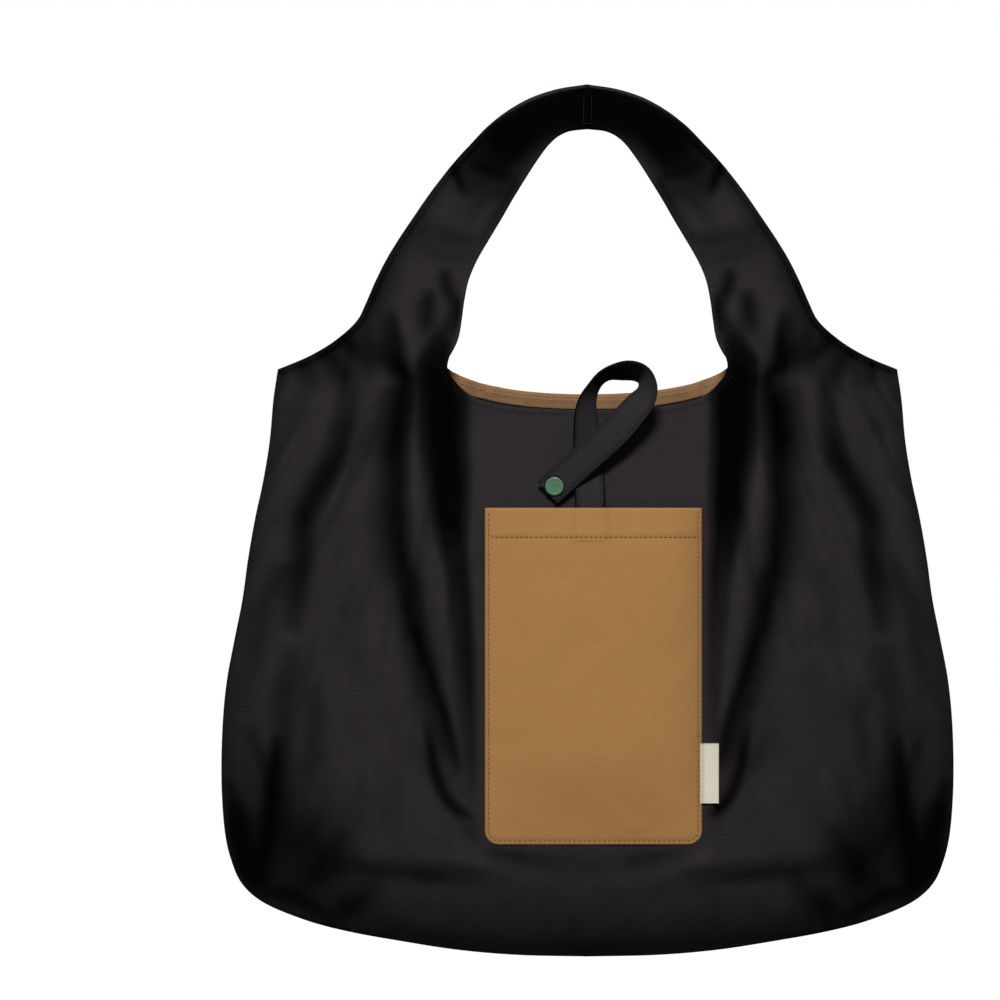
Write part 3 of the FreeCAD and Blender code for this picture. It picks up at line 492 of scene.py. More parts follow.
class Mat:
    def __init__(self, name):
        self.m = bpy.data.materials.new(name)
        self.m.use_nodes = True
        self.t = self.m.node_tree
        self.t.nodes.clear()
        self.out = self.node("ShaderNodeOutputMaterial")
        self.b = self.node("ShaderNodeBsdfPrincipled")
        self.link(self.b.outputs[0], self.out.inputs[0])

    def node(self, kind, **kw):
        n = self.t.nodes.new(kind)
        for k, v in kw.items():
            setattr(n, k, v)
        return n

    def link(self, a, b):
        self.t.links.new(a, b)

    def math(self, op, a, b=None):
        n = self.node("ShaderNodeMath", operation=op)
        for i, v in enumerate((a, b)):
            if v is None:
                continue
            if isinstance(v, (int, float)):
                n.inputs[i].default_value = v
            else:
                self.link(v, n.inputs[i])
        return n.outputs[0]

    def uv(self, sx, sy, rot=0.0):
        u = self.node("ShaderNodeUVMap", uv_map="cloth")
        mp = self.node("ShaderNodeMapping")
        mp.inputs["Scale"].default_value = (sx, sy, 1)
        mp.inputs["Rotation"].default_value = (0, 0, rot)
        self.link(u.outputs[0], mp.inputs[0])
        return mp.outputs[0]

    def noise(self, vec, scale, detail=3.0, rough=0.6):
        n = self.node("ShaderNodeTexNoise")
        n.inputs["Scale"].default_value = scale
        n.inputs["Detail"].default_value = detail
        n.inputs["Roughness"].default_value = rough
        self.link(vec, n.inputs["Vector"])
        return n.outputs["Fac"]

    def wave(self, vec, scale, direction="X", dist=0.0, profile="SIN"):
        n = self.node("ShaderNodeTexWave", wave_type="BANDS", bands_direction=direction, wave_profile=profile)
        n.inputs["Scale"].default_value = scale
        n.inputs["Distortion"].default_value = dist
        n.inputs["Detail"].default_value = 1.0
        n.inputs["Detail Scale"].default_value = 1.5
        self.link(vec, n.inputs["Vector"])
        return n.outputs["Fac"]

    def ramp(self, fac, stops):
        n = self.node("ShaderNodeValToRGB")
        e = n.color_ramp.elements
        while len(e) < len(stops):
            e.new(0.5)
        for i, (p, c) in enumerate(stops):
            e[i].position = p
            e[i].color = c
        self.link(fac, n.inputs[0])
        return n.outputs[0]

    def mix(self, mode, fac, a, b):
        n = self.node("ShaderNodeMix", data_type="RGBA", blend_type=mode)
        for s, v in ((0, fac), (6, a), (7, b)):
            if isinstance(v, (int, float)):
                n.inputs[s].default_value = v
            elif isinstance(v, tuple):
                n.inputs[s].default_value = v
            else:
                self.link(v, n.inputs[s])
        return n.outputs[2]


def woven(name, dark, light, yarn, kind="twill", rough=0.9, sheen=0.3, sheen_tint=(1, 1, 1, 1), spec=0.2, bump=0.25, depth=0.00012, wear=None, blotch=0.5, shade_to=0.06):
    """Woven cotton. yarn is the pitch in mm; UVs are in units of 100 mm, so a scale of 100 is 1 per mm."""
    M = Mat(name)
    per = 100.0 / yarn
    flat = M.uv(1, 1)
    scale = per * 2 * math.pi / 20.0
    if kind == "twill":
        diag = M.uv(1, 1, math.radians(52))
        a = M.wave(diag, scale, "X", 0.6)
        b = M.wave(flat, scale * 1.35, "Y", 0.4)
        weave = M.math("ADD", M.math("MULTIPLY", a, 0.72), M.math("MULTIPLY", b, 0.28))
    else:
        a = M.wave(flat, scale, "X", 0.5)
        b = M.wave(flat, scale, "Y", 0.5)
        weave = M.math("MAXIMUM", a, b)
    slub = M.noise(M.uv(5.0, 60.0), 3.0, 4.0, 0.65)
    fuzz = M.noise(flat, 420.0, 2.0, 0.7)
    cloud = M.noise(flat, 4.0, 5.0, 0.6)
    tone = M.math("ADD", M.math("MULTIPLY", weave, 0.45), M.math("MULTIPLY", slub, 0.25))
    speck = M.noise(flat, 95.0, 2.0, 0.8)
    tone = M.math("ADD", tone, M.math("MULTIPLY", fuzz, 0.14))
    tone = M.math("ADD", tone, M.math("MULTIPLY", M.math("SUBTRACT", speck, 0.5), 0.9))
    tone = M.math("ADD", tone, 0.08)
    col = M.ramp(tone, [(0.18, dark), (0.80, light)])
    cl = M.ramp(cloud, [(0.32, (1 - 0.35 * blotch,) * 3 + (1,)), (0.68, (1 + 0.0,) * 3 + (1,))])
    col = M.mix("MULTIPLY", 1.0, col, cl)
    if wear is not None:
        # bare, paler fibres where the cloth stands proud
        at = M.node("ShaderNodeAttribute", attribute_name="wear")
        amount = M.math("MULTIPLY", at.outputs["Fac"], M.noise(flat, 60.0, 3.0, 0.7))
        col = M.mix("MIX", amount, col, wear)
    # painted shade: the per-point 'shade' attribute darkens the base colour towards shade_to
    sh = M.node("ShaderNodeAttribute", attribute_name="shade")
    keep = M.math("SUBTRACT", 1.0, M.math("MULTIPLY", sh.outputs["Fac"], 1.0 - shade_to))
    grey = M.node("ShaderNodeCombineColor")
    for i in range(3):
        M.link(keep, grey.inputs[i])
    col = M.mix("MULTIPLY", 1.0, col, grey.outputs[0])
    M.link(col, M.b.inputs["Base Color"])
    rr = M.math("ADD", rough - 0.05, M.math("MULTIPLY", fuzz, 0.1))
    M.link(rr, M.b.inputs["Roughness"])
    M.b.inputs["Sheen Weight"].default_value = sheen
    M.b.inputs["Sheen Roughness"].default_value = 0.45
    M.b.inputs["Sheen Tint"].default_value = sheen_tint
    M.b.inputs["Specular IOR Level"].default_value = spec
    h = M.math("ADD", weave, M.math("MULTIPLY", fuzz, 0.5))
    bp = M.node("ShaderNodeBump")
    bp.inputs["Strength"].default_value = bump
    bp.inputs["Distance"].default_value = depth
    M.link(h, bp.inputs["Height"])
    M.link(bp.outputs[0], M.b.inputs["Normal"])
    return M.m


def thread_mat(name, a, b, spec=0.3):
    M = Mat(name)
    g = M.node("ShaderNodeTexCoord")
    w = M.node("ShaderNodeTexWave", wave_type="BANDS", bands_direction="DIAGONAL")
    w.inputs["Scale"].default_value = 900.0
    w.inputs["Distortion"].default_value = 1.0
    M.link(g.outputs["Object"], w.inputs["Vector"])
    n = M.node("ShaderNodeTexNoise")
    n.inputs["Scale"].default_value = 300.0
    M.link(g.outputs["Object"], n.inputs["Vector"])
    f = M.math("ADD", M.math("MULTIPLY", w.outputs["Fac"], 0.6), M.math("MULTIPLY", n.outputs["Fac"], 0.4))
    # painted shade: the per-point 'shade' attribute darkens the thread's colour
    sh = M.node("ShaderNodeAttribute", attribute_name="shade")
    keep = M.math("SUBTRACT", 1.0, sh.outputs["Fac"])
    grey = M.node("ShaderNodeCombineColor")
    for i in range(3):
        M.link(keep, grey.inputs[i])
    M.link(M.mix("MULTIPLY", 1.0, M.ramp(f, [(0.25, a), (0.75, b)]), grey.outputs[0]), M.b.inputs["Base Color"])
    M.link(M.math("ADD", 0.55, M.math("MULTIPLY", n.outputs["Fac"], 0.2)), M.b.inputs["Roughness"])
    M.b.inputs["Specular IOR Level"].default_value = spec
    M.b.inputs["Sheen Weight"].default_value = 0.2
    bp = M.node("ShaderNodeBump")
    bp.inputs["Strength"].default_value = 0.4
    bp.inputs["Distance"].default_value = 0.0001
    M.link(w.outputs["Fac"], bp.inputs["Height"])
    M.link(bp.outputs[0], M.b.inputs["Normal"])
    return M.m


def plastic(name, base, dark, rough=0.32):
    M = Mat(name)
    g = M.node("ShaderNodeTexCoord")
    n = M.noise(g.outputs["Object"], 260.0, 4.0, 0.6)
    m = M.noise(g.outputs["Object"], 1500.0, 2.0, 0.5)
    M.link(M.ramp(n, [(0.35, dark), (0.65, base)]), M.b.inputs["Base Color"])
    M.link(M.math("ADD", rough - 0.06, M.math("MULTIPLY", m, 0.14)), M.b.inputs["Roughness"])
    M.b.inputs["Specular IOR Level"].default_value = 0.5
    M.b.inputs["Coat Weight"].default_value = 0.15
    M.b.inputs["Coat Roughness"].default_value = 0.25
    bp = M.node("ShaderNodeBump")
    bp.inputs["Strength"].default_value = 0.12
    bp.inputs["Distance"].default_value = 0.0001
    M.link(m, bp.inputs["Height"])
    M.link(bp.outputs[0], M.b.inputs["Normal"])
    return M.m


BLACK = woven("black_cotton_twill", lin((30, 27, 30)), lin((58, 54, 58)), 0.95, "twill", 0.95, 0.03, (0.9, 0.9, 1, 1), 0.03, 0.35, 0.00022, blotch=0.35, shade_to=0.0)
STRAP = woven("strap_cotton_twill", lin((29, 27, 30)), lin((57, 54, 58)), 0.85, "twill", 0.9, 0.04, (0.9, 0.9, 1, 1), 0.05, 0.35, 0.0002, blotch=0.3, shade_to=0.0)
BROWN = woven("brown_cotton_canvas", lin((146, 104, 58)), lin((178, 133, 80)), 0.75, "canvas", 0.9, 0.12, (1, .9, .75, 1), 0.15, 0.3, 0.0002, blotch=0.10, shade_to=0.35)
TAPE = woven("brown_cotton_tape", lin((124, 91, 59)), lin((158, 121, 84)), 0.7, "canvas", 0.9, 0.1, (1, .9, .75, 1), 0.15, 0.35, 0.0002, blotch=0.3, shade_to=0.3)
LABEL = woven("woven_label", lin((206, 198, 180)), lin((236, 229, 212)), 0.42, "canvas", 0.75, 0.15, (1, 1, 1, 1), 0.3, 0.3, 0.00012, blotch=0.2, shade_to=0.4)
THREAD_K = thread_mat("black_thread", lin((30, 28, 31)), lin((62, 59, 63)), 0.1)
THREAD_D = thread_mat("dark_thread", lin((12, 11, 13)), lin((30, 28, 31)), 0.04)
THREAD_S = thread_mat("strap_thread", lin((22, 20, 23)), lin((46, 44, 47)), 0.08)
THREAD_B = thread_mat("brown_thread", lin((78, 48, 24)), lin((122, 82, 44)), 0.2)
THREAD_R = thread_mat("root_thread", lin((120, 84, 46)), lin((150, 110, 64)), 0.2)
THREAD_T = thread_mat("tape_thread", lin((140, 111, 80)), lin((180, 152, 120)))
# near-black material for the painted shadow ring round the snap cap
PAINTED_SHADOW_MAT = thread_mat("painted_shadow_black", lin((8, 8, 9)), lin((16, 15, 17)), 0.03)
SNAP = plastic("green_resin", lin((88, 130, 96)), lin((72, 112, 82)))


# ---- the two cloth panels, each cut in one with its handle loop ----------------------------
def panel_mesh(front):
    e_in, e_out = EDGE_IN[front], EDGE_OUT[front]
    e_out2 = e_out[:-1]
    outline = np.vstack([e_out2, EDGE_SIDE[:-1], [[0, EDGE_SIDE[-1][1]]], mirrored(EDGE_SIDE[:-1]), mirrored(e_out2)[:-1]])
    hole = np.vstack([e_in, mirrored(e_in)[1:-1]])
    pts = [outline, hole]
    full_out = np.vstack([mirrored(EDGE_OUT[front]), EDGE_OUT[front][1:]])
    for k in (1.0, 2.1, 3.1, 4.3, 5.8):
        a = offset(full_out, -k)
        b = offset(np.vstack([hole, hole[:1]]), 0)
        pts.append(a)
        # the opening's rim, pushed outwards
        n = len(hole)
        t = np.roll(hole, -1, 0) - np.roll(hole, 1, 0)
        t /= np.maximum(np.linalg.norm(t, axis=1), 1e-9)[:, None]
        nrm = np.stack([t[:, 1], -t[:, 0]], 1)
        c = hole + nrm * k
        if inside(c[:1, 0], c[:1, 1], hole)[0]:
            c = hole - nrm * k
        pts.append(c)
    lat = lattice(-250, 250, -584, 4, 3.0)
    lat = lat[inside(lat[:, 0], lat[:, 1], outline) & ~inside(lat[:, 0], lat[:, 1], hole)]
    e = to_line(np.abs(lat[:, 0]), lat[:, 1], e_in[::2])[0]
    e = np.minimum(e, to_line(np.abs(lat[:, 0]), lat[:, 1], e_out[::2])[0])
    s = to_line(np.abs(lat[:, 0]), lat[:, 1], EDGE_SIDE[::2])[0]
    lat = lat[(e > 7.2) & (s > 1.8)]
    allp = np.vstack([outline, hole])
    rows = np.vstack(pts[2:])
    rows = rows[inside(rows[:, 0], rows[:, 1], outline) & ~inside(rows[:, 0], rows[:, 1], hole)]
    s = to_line(np.abs(rows[:, 0]), rows[:, 1], EDGE_SIDE[::2])[0]
    rows = rows[s > 0.8]
    P = np.vstack([allp, rows, lat])
    # drop points that coincide
    key = np.round(P / 0.45).astype(int)
    _, first = np.unique(key, axis=0, return_index=True)
    P = P[np.sort(first)]
    return triangulate(P, outline, [hole])


def panel(name, front):
    P, F = panel_mesh(front)
    d, dark = cloth_depth(P[:, 0], P[:, 1], front)
    s = -1.0 if front else 1.0
    co = np.stack([P[:, 0], s * d, P[:, 1]], 1)
    if not front:
        F = F[:, ::-1]
    allc, faces, src = thicken(co, F, CLOTH)
    uv = P[src]
    ob = make(name, allc, faces, BLACK, uv, dark[src])
    return ob


front_cloth = panel("front_cloth", True)
back_cloth = panel("back_cloth", False)


def seated(points, front, lift, detail=False):
    """Points of a line in the XZ plane, laid on the cloth; lift outwards along its normal."""
    p = np.asarray(points, float)
    X, Z = p[:, 0], p[:, 1]
    e = 0.7
    allx = np.r_[X, X + e, X - e, X, X]
    allz = np.r_[Z, Z, Z, Z + e, Z - e]
    # seated.dark keeps the cloth's painted shade at the points
    d, seated.dark = cloth_depth(allx, allz, front, True)
    n = len(X)
    seated.dark = seated.dark[:n]
    fx, fz = (d[n:2 * n] - d[2 * n:3 * n]) / (2 * e), (d[3 * n:4 * n] - d[4 * n:]) / (2 * e)
    s = -1.0 if front else 1.0
    nr = np.stack([-fx, np.full(n, s), -fz], 1)
    nr[:, 0] *= 1
    nr = np.stack([-fx, np.full(n, 1.0), -fz], 1)
    nr /= np.linalg.norm(nr, axis=1)[:, None]
    nr[:, 1] *= s
    pos = np.stack([X, s * d[:n], Z], 1)
    return pos + nr * np.asarray(lift).reshape(-1, 1), nr


def stitches(runs, mat, name, length=2.5, gap=0.9, radius=0.3):
    """Separate sewn stitches. runs: list of (positions, normals) of dense lines in space, with painted shade per point
    as an optional third item.
    """
    verts, faces, uvs, shade = [], [], [], []
    ring = 6
    for run in runs:
        pos, nr = run[0], run[1]
        painted_shade = run[2] if len(run) > 2 else np.zeros(len(pos))
        l = np.r_[0, np.cumsum(np.linalg.norm(np.diff(pos, axis=0), axis=1))]
        total = l[-1]
        n = int(total / (length + gap))
        if n < 1:
            continue
        pitch = total / n
        for i in range(n):
            base = len(verts)
            ts = i * pitch + gap / 2 * pitch / (length + gap) + np.array([0, 0.18, 0.5, 0.82, 1.0]) * (pitch - gap * pitch / (length + gap))
            c = np.stack([np.interp(ts, l, pos[:, k]) for k in range(3)], 1)
            nn = np.stack([np.interp(ts, l, nr[:, k]) for k in range(3)], 1)
            shade += [float(np.interp(ts[2], l, painted_shade))] * (5 * ring)
            t = c[-1] - c[0]
            t /= max(np.linalg.norm(t), 1e-9)
            for j, (up, r) in enumerate(((-0.35, 0.45), (0.05, 0.9), (0.2, 1.0), (0.05, 0.9), (-0.35, 0.45))):
                nv = nn[j] / np.linalg.norm(nn[j])
                bv = np.cross(t, nv)
                for q in range(ring):
                    a = 2 * math.pi * q / ring
                    verts.append(c[j] + nv * (up * radius * 1.4 + math.sin(a) * radius * r * 0.85) + bv * math.cos(a) * radius * r)
                    uvs.append((ts[j], q * 0.3))
            for j in range(4):
                for q in range(ring):
                    a, b = base + j * ring + q, base + j * ring + (q + 1) % ring
                    faces.append((a, b, b + ring, a + ring))
            faces.append(tuple(base + q for q in reversed(range(ring))))
            faces.append(tuple(base + 4 * ring + q for q in range(ring)))
    return make(name, np.array(verts), faces, mat, np.array(uvs), np.array(shade))


def edge_run(front, which, off, lo=None, hi=None, lift=0.05):
    """A dense sewing line inside one of the turned edges, right across the bag or loop."""
    src = EDGE_IN[front] if which == "in" else EDGE_OUT[front]
    left = which == "in"
    full = np.vstack([mirrored(src), src[1:]])
    line = offset(full, off if left else -off)
    line = resample(line[::2], 0.8)
    k = np.ones(len(line), bool)
    if lo is not None:
        k &= np.abs(line[:, 0]) <= hi
    return line[k]


def run_on(line, front, lift=0.05):
    pos, nr = seated(line, front, np.full(len(line), lift))
    # the stitches take the painted shade of the cloth beneath them
    return pos, nr, np.clip(seated.dark * 1.05, 0, 0.97)


def split_far(line, x_max):
    return line[np.abs(line[:, 0]) < x_max]


pieces = {}
for word, front in (("front", True), ("back", False)):
    runs = []
    full_in = edge_run(front, "in", 3.7)
    # the opening's edge is one closed line: neck at the bottom, handle at the top
    hole = np.vstack([EDGE_IN[front], mirrored(EDGE_IN[front])[1:-1]])
    t = np.roll(hole, -1, 0) - np.roll(hole, 1, 0)
    t /= np.linalg.norm(t, axis=1)[:, None]
    nrm = np.stack([t[:, 1], -t[:, 0]], 1)
    c = hole + nrm * 3.7
    if inside(c[:1, 0], c[:1, 1], hole)[0]:
        c = hole - nrm * 3.7
    ring_line = resample(c[::2], 0.8, closed=True)
    ring_line = np.vstack([ring_line, ring_line[:1]])
    runs.append(run_on(ring_line, front))
    src = EDGE_OUT[front]
    full = np.vstack([mirrored(src), src[1:]])
    outer = resample(offset(full, -3.7)[::2], 0.8)
    outer = outer[np.abs(outer[:, 0]) < CORNER[0] - 9]
    pieces[word] = stitches(runs, THREAD_K, word + "_edge_stitches", 2.3, 1.0, 0.25)
    seam = [run_on(outer, front)]
    # the seam's stitches at the handle tops get near-black painted shade
    for x in (-2.6, 2.6):
        pos, nr, _ = run_on(np.stack([np.full(34, x), np.linspace(-7.5, -25.5, 34)], 1), front, -0.02)
        seam.append((pos, nr, np.full(34, 0.96)))
    pieces[word + "_seam"] = stitches(seam, THREAD_D, word + "_outer_stitches", 2.3, 1.0, 0.22)


# ---- facing tapes on the inside of the turned edges ----------------------------------------
def tape(edge, front, name, closed, inward, mat, width=FACING_W):
    """A tape 0.3 mm thick on the inside of the cloth, along an edge line in the XZ plane."""
    rows, shade, uv = [], [], []
    edge = np.asarray(edge, float)
    if closed:
        t = np.roll(edge, -1, 0) - np.roll(edge, 1, 0)
    else:
        t = np.gradient(edge, axis=0)
    t /= np.linalg.norm(t, axis=1)[:, None]
    nrm = np.stack([t[:, 1], -t[:, 0]], 1) * inward
    offs = np.array([0.5, 1.4, 2.6, 3.7, 4.8, 6.6, 8.2, width - 0.5, width])
    bulge = np.array([-.1, .12, .16, -.02, .16, .12, .14, .12, -.1])
    l = np.r_[0, np.cumsum(np.linalg.norm(np.diff(edge, axis=0), axis=1))]
    cols = []
    # at the top of the back loop a turned edge of black cloth shows past the tape; at the back of the mouth the tape wraps the edge
    shift = np.zeros(len(edge))
    if not front and not closed:
        shift = 4.8 * (1 - smooth((np.abs(edge[:, 0]) - 78.0) / 45.0)) * smooth((edge[:, 1] + 130) / 40.0)
    for k, o in enumerate(offs):
        start = shift if k or front or not closed else shift - 0.95 * smooth((-190.0 - edge[:, 1]) / 3.0)
        line = edge + nrm * (o + start)[:, None]
        pos, nr = seated(line, front, np.full(len(line), -(CLOTH + 0.10)))
        cols.append((pos - nr * (0.3 + bulge[k]), pos))
    C = len(offs)
    N = len(edge)
    # cross-section ring: inner face one way, outer face back
    verts = []
    for i in range(N):
        verts += [cols[k][0][i] for k in range(C)] + [cols[k][1][i] for k in reversed(range(C))]
        uv += [(l[i], offs[k]) for k in range(C)] + [(l[i], offs[k]) for k in reversed(range(C))]
    R = 2 * C
    faces = []
    M_ = N if closed else N - 1
    for i in range(M_):
        j = (i + 1) % N
        for q in range(R):
            a, b = i * R + q, i * R + (q + 1) % R
            c, d = j * R + (q + 1) % R, j * R + q
            faces.append((a, b, c, d))
    if not closed:
        faces.append(tuple(reversed(range(R))))
        faces.append(tuple((N - 1) * R + q for q in range(R)))
    ob = make(name, np.array(verts), faces, mat, np.array(uv))
    return ob


for word, front in (("front", True), ("back", False)):
    hole = np.vstack([EDGE_IN[front], mirrored(EDGE_IN[front])[1:-1]])
    t = np.roll(hole, -1, 0) - np.roll(hole, 1, 0)
    nrm0 = np.array([t[5][1], -t[5][0]]) / np.linalg.norm(t[5])
    probe = hole[5:6] + nrm0 * 2
    inward = -1 if inside(probe[:, 0], probe[:, 1], hole)[0] else 1
    pieces[word + "_in"] = tape(hole, front, word + "_opening_tape", True, inward, TAPE)
    src = EDGE_OUT[front]
    full = np.vstack([mirrored(src), src[1:]])
    full = full[np.abs(full[:, 0]) < CORNER[0] - 6]
    pieces[word + "_out"] = tape(full, front, word + "_armhole_tape", False, 1, TAPE)
    # light sewing line seen on the tape
    inner = []
    c = hole + np.stack([(np.roll(hole, -1, 0) - np.roll(hole, 1, 0))[:, 1], -(np.roll(hole, -1, 0) - np.roll(hole, 1, 0))[:, 0]], 1) \
        / np.linalg.norm(np.roll(hole, -1, 0) - np.roll(hole, 1, 0), axis=1)[:, None] * inward * 3.7
    for off_line in (c,):
        line = resample(off_line[::2], 0.8, closed=True)
        pos, nr = seated(line, front, np.full(len(line), -(CLOTH + 0.46)))
        inner.append((np.vstack([pos, pos[:1]]), np.vstack([-nr, -nr[:1]])))
    pieces[word + "_in_st"] = stitches(inner, THREAD_T, word + "_tape_stitches", 2.3, 1.0, 0.26)


# ---- pocket --------------------------------------------------------------------------------
PCX, PWX = (PX0 + PX1) / 2, (PX1 - PX0) / 2


def pocket_inner(X, Z):
    ux = np.clip(np.abs(X - PCX) / PWX, 0, 1.1)
    up = smooth((Z - PZ0) / 60.0)
    return body_depth(X, Z) + 0.1 + 7.0 * (1 - ux * ux) * up


def pocket_edge(r=9.0, step=3.0):
    arc = lambda cx, cz, a0: [(cx + r * math.cos(a), cz + r * math.sin(a)) for a in np.linspace(a0, a0 + math.pi / 2, 7)]
    pts = [(PX0, PZ1)]
    pts += [(PX0, z) for z in np.arange(PZ1 - step, PZ0 + r + 1, -step)]
    pts += arc(PX0 + r, PZ0 + r, math.pi)
    pts += [(x, PZ0) for x in np.arange(PX0 + r + step, PX1 - r - 1, step)]
    pts += arc(PX1 - r, PZ0 + r, 1.5 * math.pi)
    pts += [(PX1, z) for z in np.arange(PZ0 + r + step, PZ1 - 1, step)]
    pts += [(PX1, PZ1)]
    return np.array(pts)


POCKET_LINE = pocket_edge()


def pocket_depth(X, Z, detail=True):
    X, Z = np.asarray(X, float), np.asarray(Z, float)
    d = pocket_inner(X, Z) + 0.75
    e = to_line(X, Z, POCKET_LINE)[0]
    top = PZ1 - Z
    shade = np.zeros(len(X))
    d = d - np.exp(-((e - 2.4) / 0.8) ** 2) * 0.42 * (top > 1) - np.exp(-(e / 0.9) ** 2) * 0.45 + smooth((3.2 - e) / 2.2) * 0.3
    d = d - np.exp(-((Z - HEM_Z) / 0.9) ** 2) * 0.20 + 0.30 * smooth((Z - HEM_Z + 0.8) / 2.4) - np.exp(-(top / 0.9) ** 2) * 0.4
    # painted shade in the seam groove, under the hem, along the right side and along the edge
    shade += 0.16 * np.exp(-((e - 2.4) / 0.7) ** 2) * (top > 1) + 0.10 * np.exp(-((Z - HEM_Z) / 0.8) ** 2)
    shade += 0.16 * smooth((X - PX1 + 20) / 18.0) * smooth((Z + 500) / 60) + 0.25 * np.exp(-(e / 1.1) ** 2)
    # the strap sewn under the hem presses through, with painted shade along its edges
    st = smooth((12.2 - np.abs(X - 1.5)) / 2.0) * smooth((Z - HEM_Z + 4) / 3.0)
    d = d + 0.55 * st
    shade += 0.14 * np.exp(-((np.abs(X - 1.5) - 11.2) / 1.2) ** 2) * smooth((Z - HEM_Z + 4) / 3.0)
    if detail:
        d = d + fbm(X, Z, 42, 60, 9.0) * 0.75 * smooth(e / 12.0) + fbm(X, Z, 9, 12, 11.0) * 0.12
        # slight pucker along the seams
        d = d + np.sin(Z / 6.3 + np.sin(Z / 17.0) * 2) * 0.14 * np.exp(-(e / 4.5) ** 2)
    return d, np.clip(shade, 0, 0.9)


def pocket():
    close = np.vstack([POCKET_LINE, [(x, PZ1) for x in np.arange(PX1 - 3, PX0 + 1, -3)]])
    pts = [close]
    cx = np.array([PCX, (PZ0 + PZ1) / 2])
    t = np.roll(close, -1, 0) - np.roll(close, 1, 0)
    t /= np.linalg.norm(t, axis=1)[:, None]
    n = np.stack([-t[:, 1], t[:, 0]], 1)
    for k in (0.8, 1.6, 2.4, 3.2, 4.2, 5.6):
        q = close + n * k
        q = q[inside(q[:, 0], q[:, 1], close)]
        e = to_line(q[:, 0], q[:, 1], np.vstack([close, close[:1]]))[0]
        pts.append(q[e > k - 0.3])
    for dz in (-1.6, -0.8, 0, 0.8, 1.6):
        xs = np.arange(PX0 + 7, PX1 - 7, 2.4)
        pts.append(np.stack([xs, np.full(len(xs), HEM_Z + dz)], 1))
    lat = lattice(PX0, PX1, PZ0, PZ1, 2.6)
    e = to_line(lat[:, 0], lat[:, 1], np.vstack([close, close[:1]]))[0]
    lat = lat[inside(lat[:, 0], lat[:, 1], close) & (e > 6.6) & (np.abs(lat[:, 1] - HEM_Z) > 2.6)]
    P = np.vstack(pts + [lat])
    key = np.round(P / 0.4).astype(int)
    _, first = np.unique(key, axis=0, return_index=True)
    P, F = triangulate(P[np.sort(first)], close)
    d, sh = pocket_depth(P[:, 0], P[:, 1])
    co = np.stack([P[:, 0], -d, P[:, 1]], 1)
    allc, faces, src = thicken(co, F, 0.7)
    return make("pocket_cloth", allc, faces, BROWN, P[src], sh[src])


pocket_cloth = pocket()


def pocket_run(line, lift=0.05):
    p = np.asarray(line, float)
    X, Z = p[:, 0], p[:, 1]
    e, n = 0.7, len(p)
    d, _ = pocket_depth(np.r_[X, X + e, X - e, X, X], np.r_[Z, Z, Z, Z + e, Z - e])
    nr = np.stack([-(d[n:2 * n] - d[2 * n:3 * n]) / (2 * e), np.full(n, 1.0), -(d[3 * n:4 * n] - d[4 * n:]) / (2 * e)], 1)
    nr /= np.linalg.norm(nr, axis=1)[:, None]
    nr[:, 1] *= -1
    return np.stack([X, -d[:n], Z], 1) + nr * lift, nr


rim = offset(POCKET_LINE, 2.4)
rim = rim[(rim[:, 1] < PZ1 - 1.2)]
rim = resample(rim[::2], 0.8)
hem = np.stack([np.linspace(PX0 + 3.4, PX1 - 3.4, 180), np.full(180, HEM_Z)], 1)
pocket_stitches = stitches([pocket_run(rim, 0.12), pocket_run(hem, 0.12)], THREAD_B, "pocket_stitches", 2.1, 1.2, 0.32)
root_stitches = stitches([pocket_run(np.stack([np.linspace(1.5 - 8.5, 1.5 + 8.5, 30), np.full(30, HEM_Z - 2.4)], 1))],
                         THREAD_R, "closure_root_stitches", 2.0, 0.7, 0.2)


# ---- closure strap -------------------------------------------------------------------------
def natural(t, y):
    """Natural cubic spline through (t, y) rows, as a function."""
    n = len(t)
    A, B = np.zeros((n, n)), np.zeros((n, y.shape[1]))
    A[0, 0] = A[-1, -1] = 1
    h = np.diff(t)
    for i in range(1, n - 1):
        A[i, i - 1], A[i, i], A[i, i + 1] = h[i - 1], 2 * (h[i - 1] + h[i]), h[i]
        B[i] = 6 * ((y[i + 1] - y[i]) / h[i] - (y[i] - y[i - 1]) / h[i - 1])
    m = np.linalg.solve(A, B)

    def f(q):
        i = np.clip(np.searchsorted(t, q) - 1, 0, n - 2)
        a, b, hh = (t[i + 1] - q)[:, None], (q - t[i])[:, None], h[i][:, None]
        return (m[i] * a ** 3 + m[i + 1] * b ** 3) / (6 * hh) + (y[i] / hh - m[i] * hh / 6) * a + (y[i + 1] / hh - m[i + 1] * hh / 6) * b
    return f


def strap_frames(points, turns):
    P = np.array(points, float)
    W = []
    for i in range(len(P)):
        t = P[min(i + 1, len(P) - 1)] - P[max(i - 1, 0)]
        t /= np.linalg.norm(t)
        flat = np.array([t[2], 0, -t[0]])
        flat = flat - t * flat.dot(t)
        flat /= np.linalg.norm(flat)
        deep = np.cross(t, flat)
        if deep[1] < 0:
            deep = -deep
        f = math.radians(turns[i])
        W.append(flat * math.cos(f) + deep * math.sin(f))
    return P, np.array(W)


SX = 1.5


def root_y(z):
    return -(float(pocket_inner(np.array([SX]), np.array([z]))[0]) - 0.4 - 0.5)


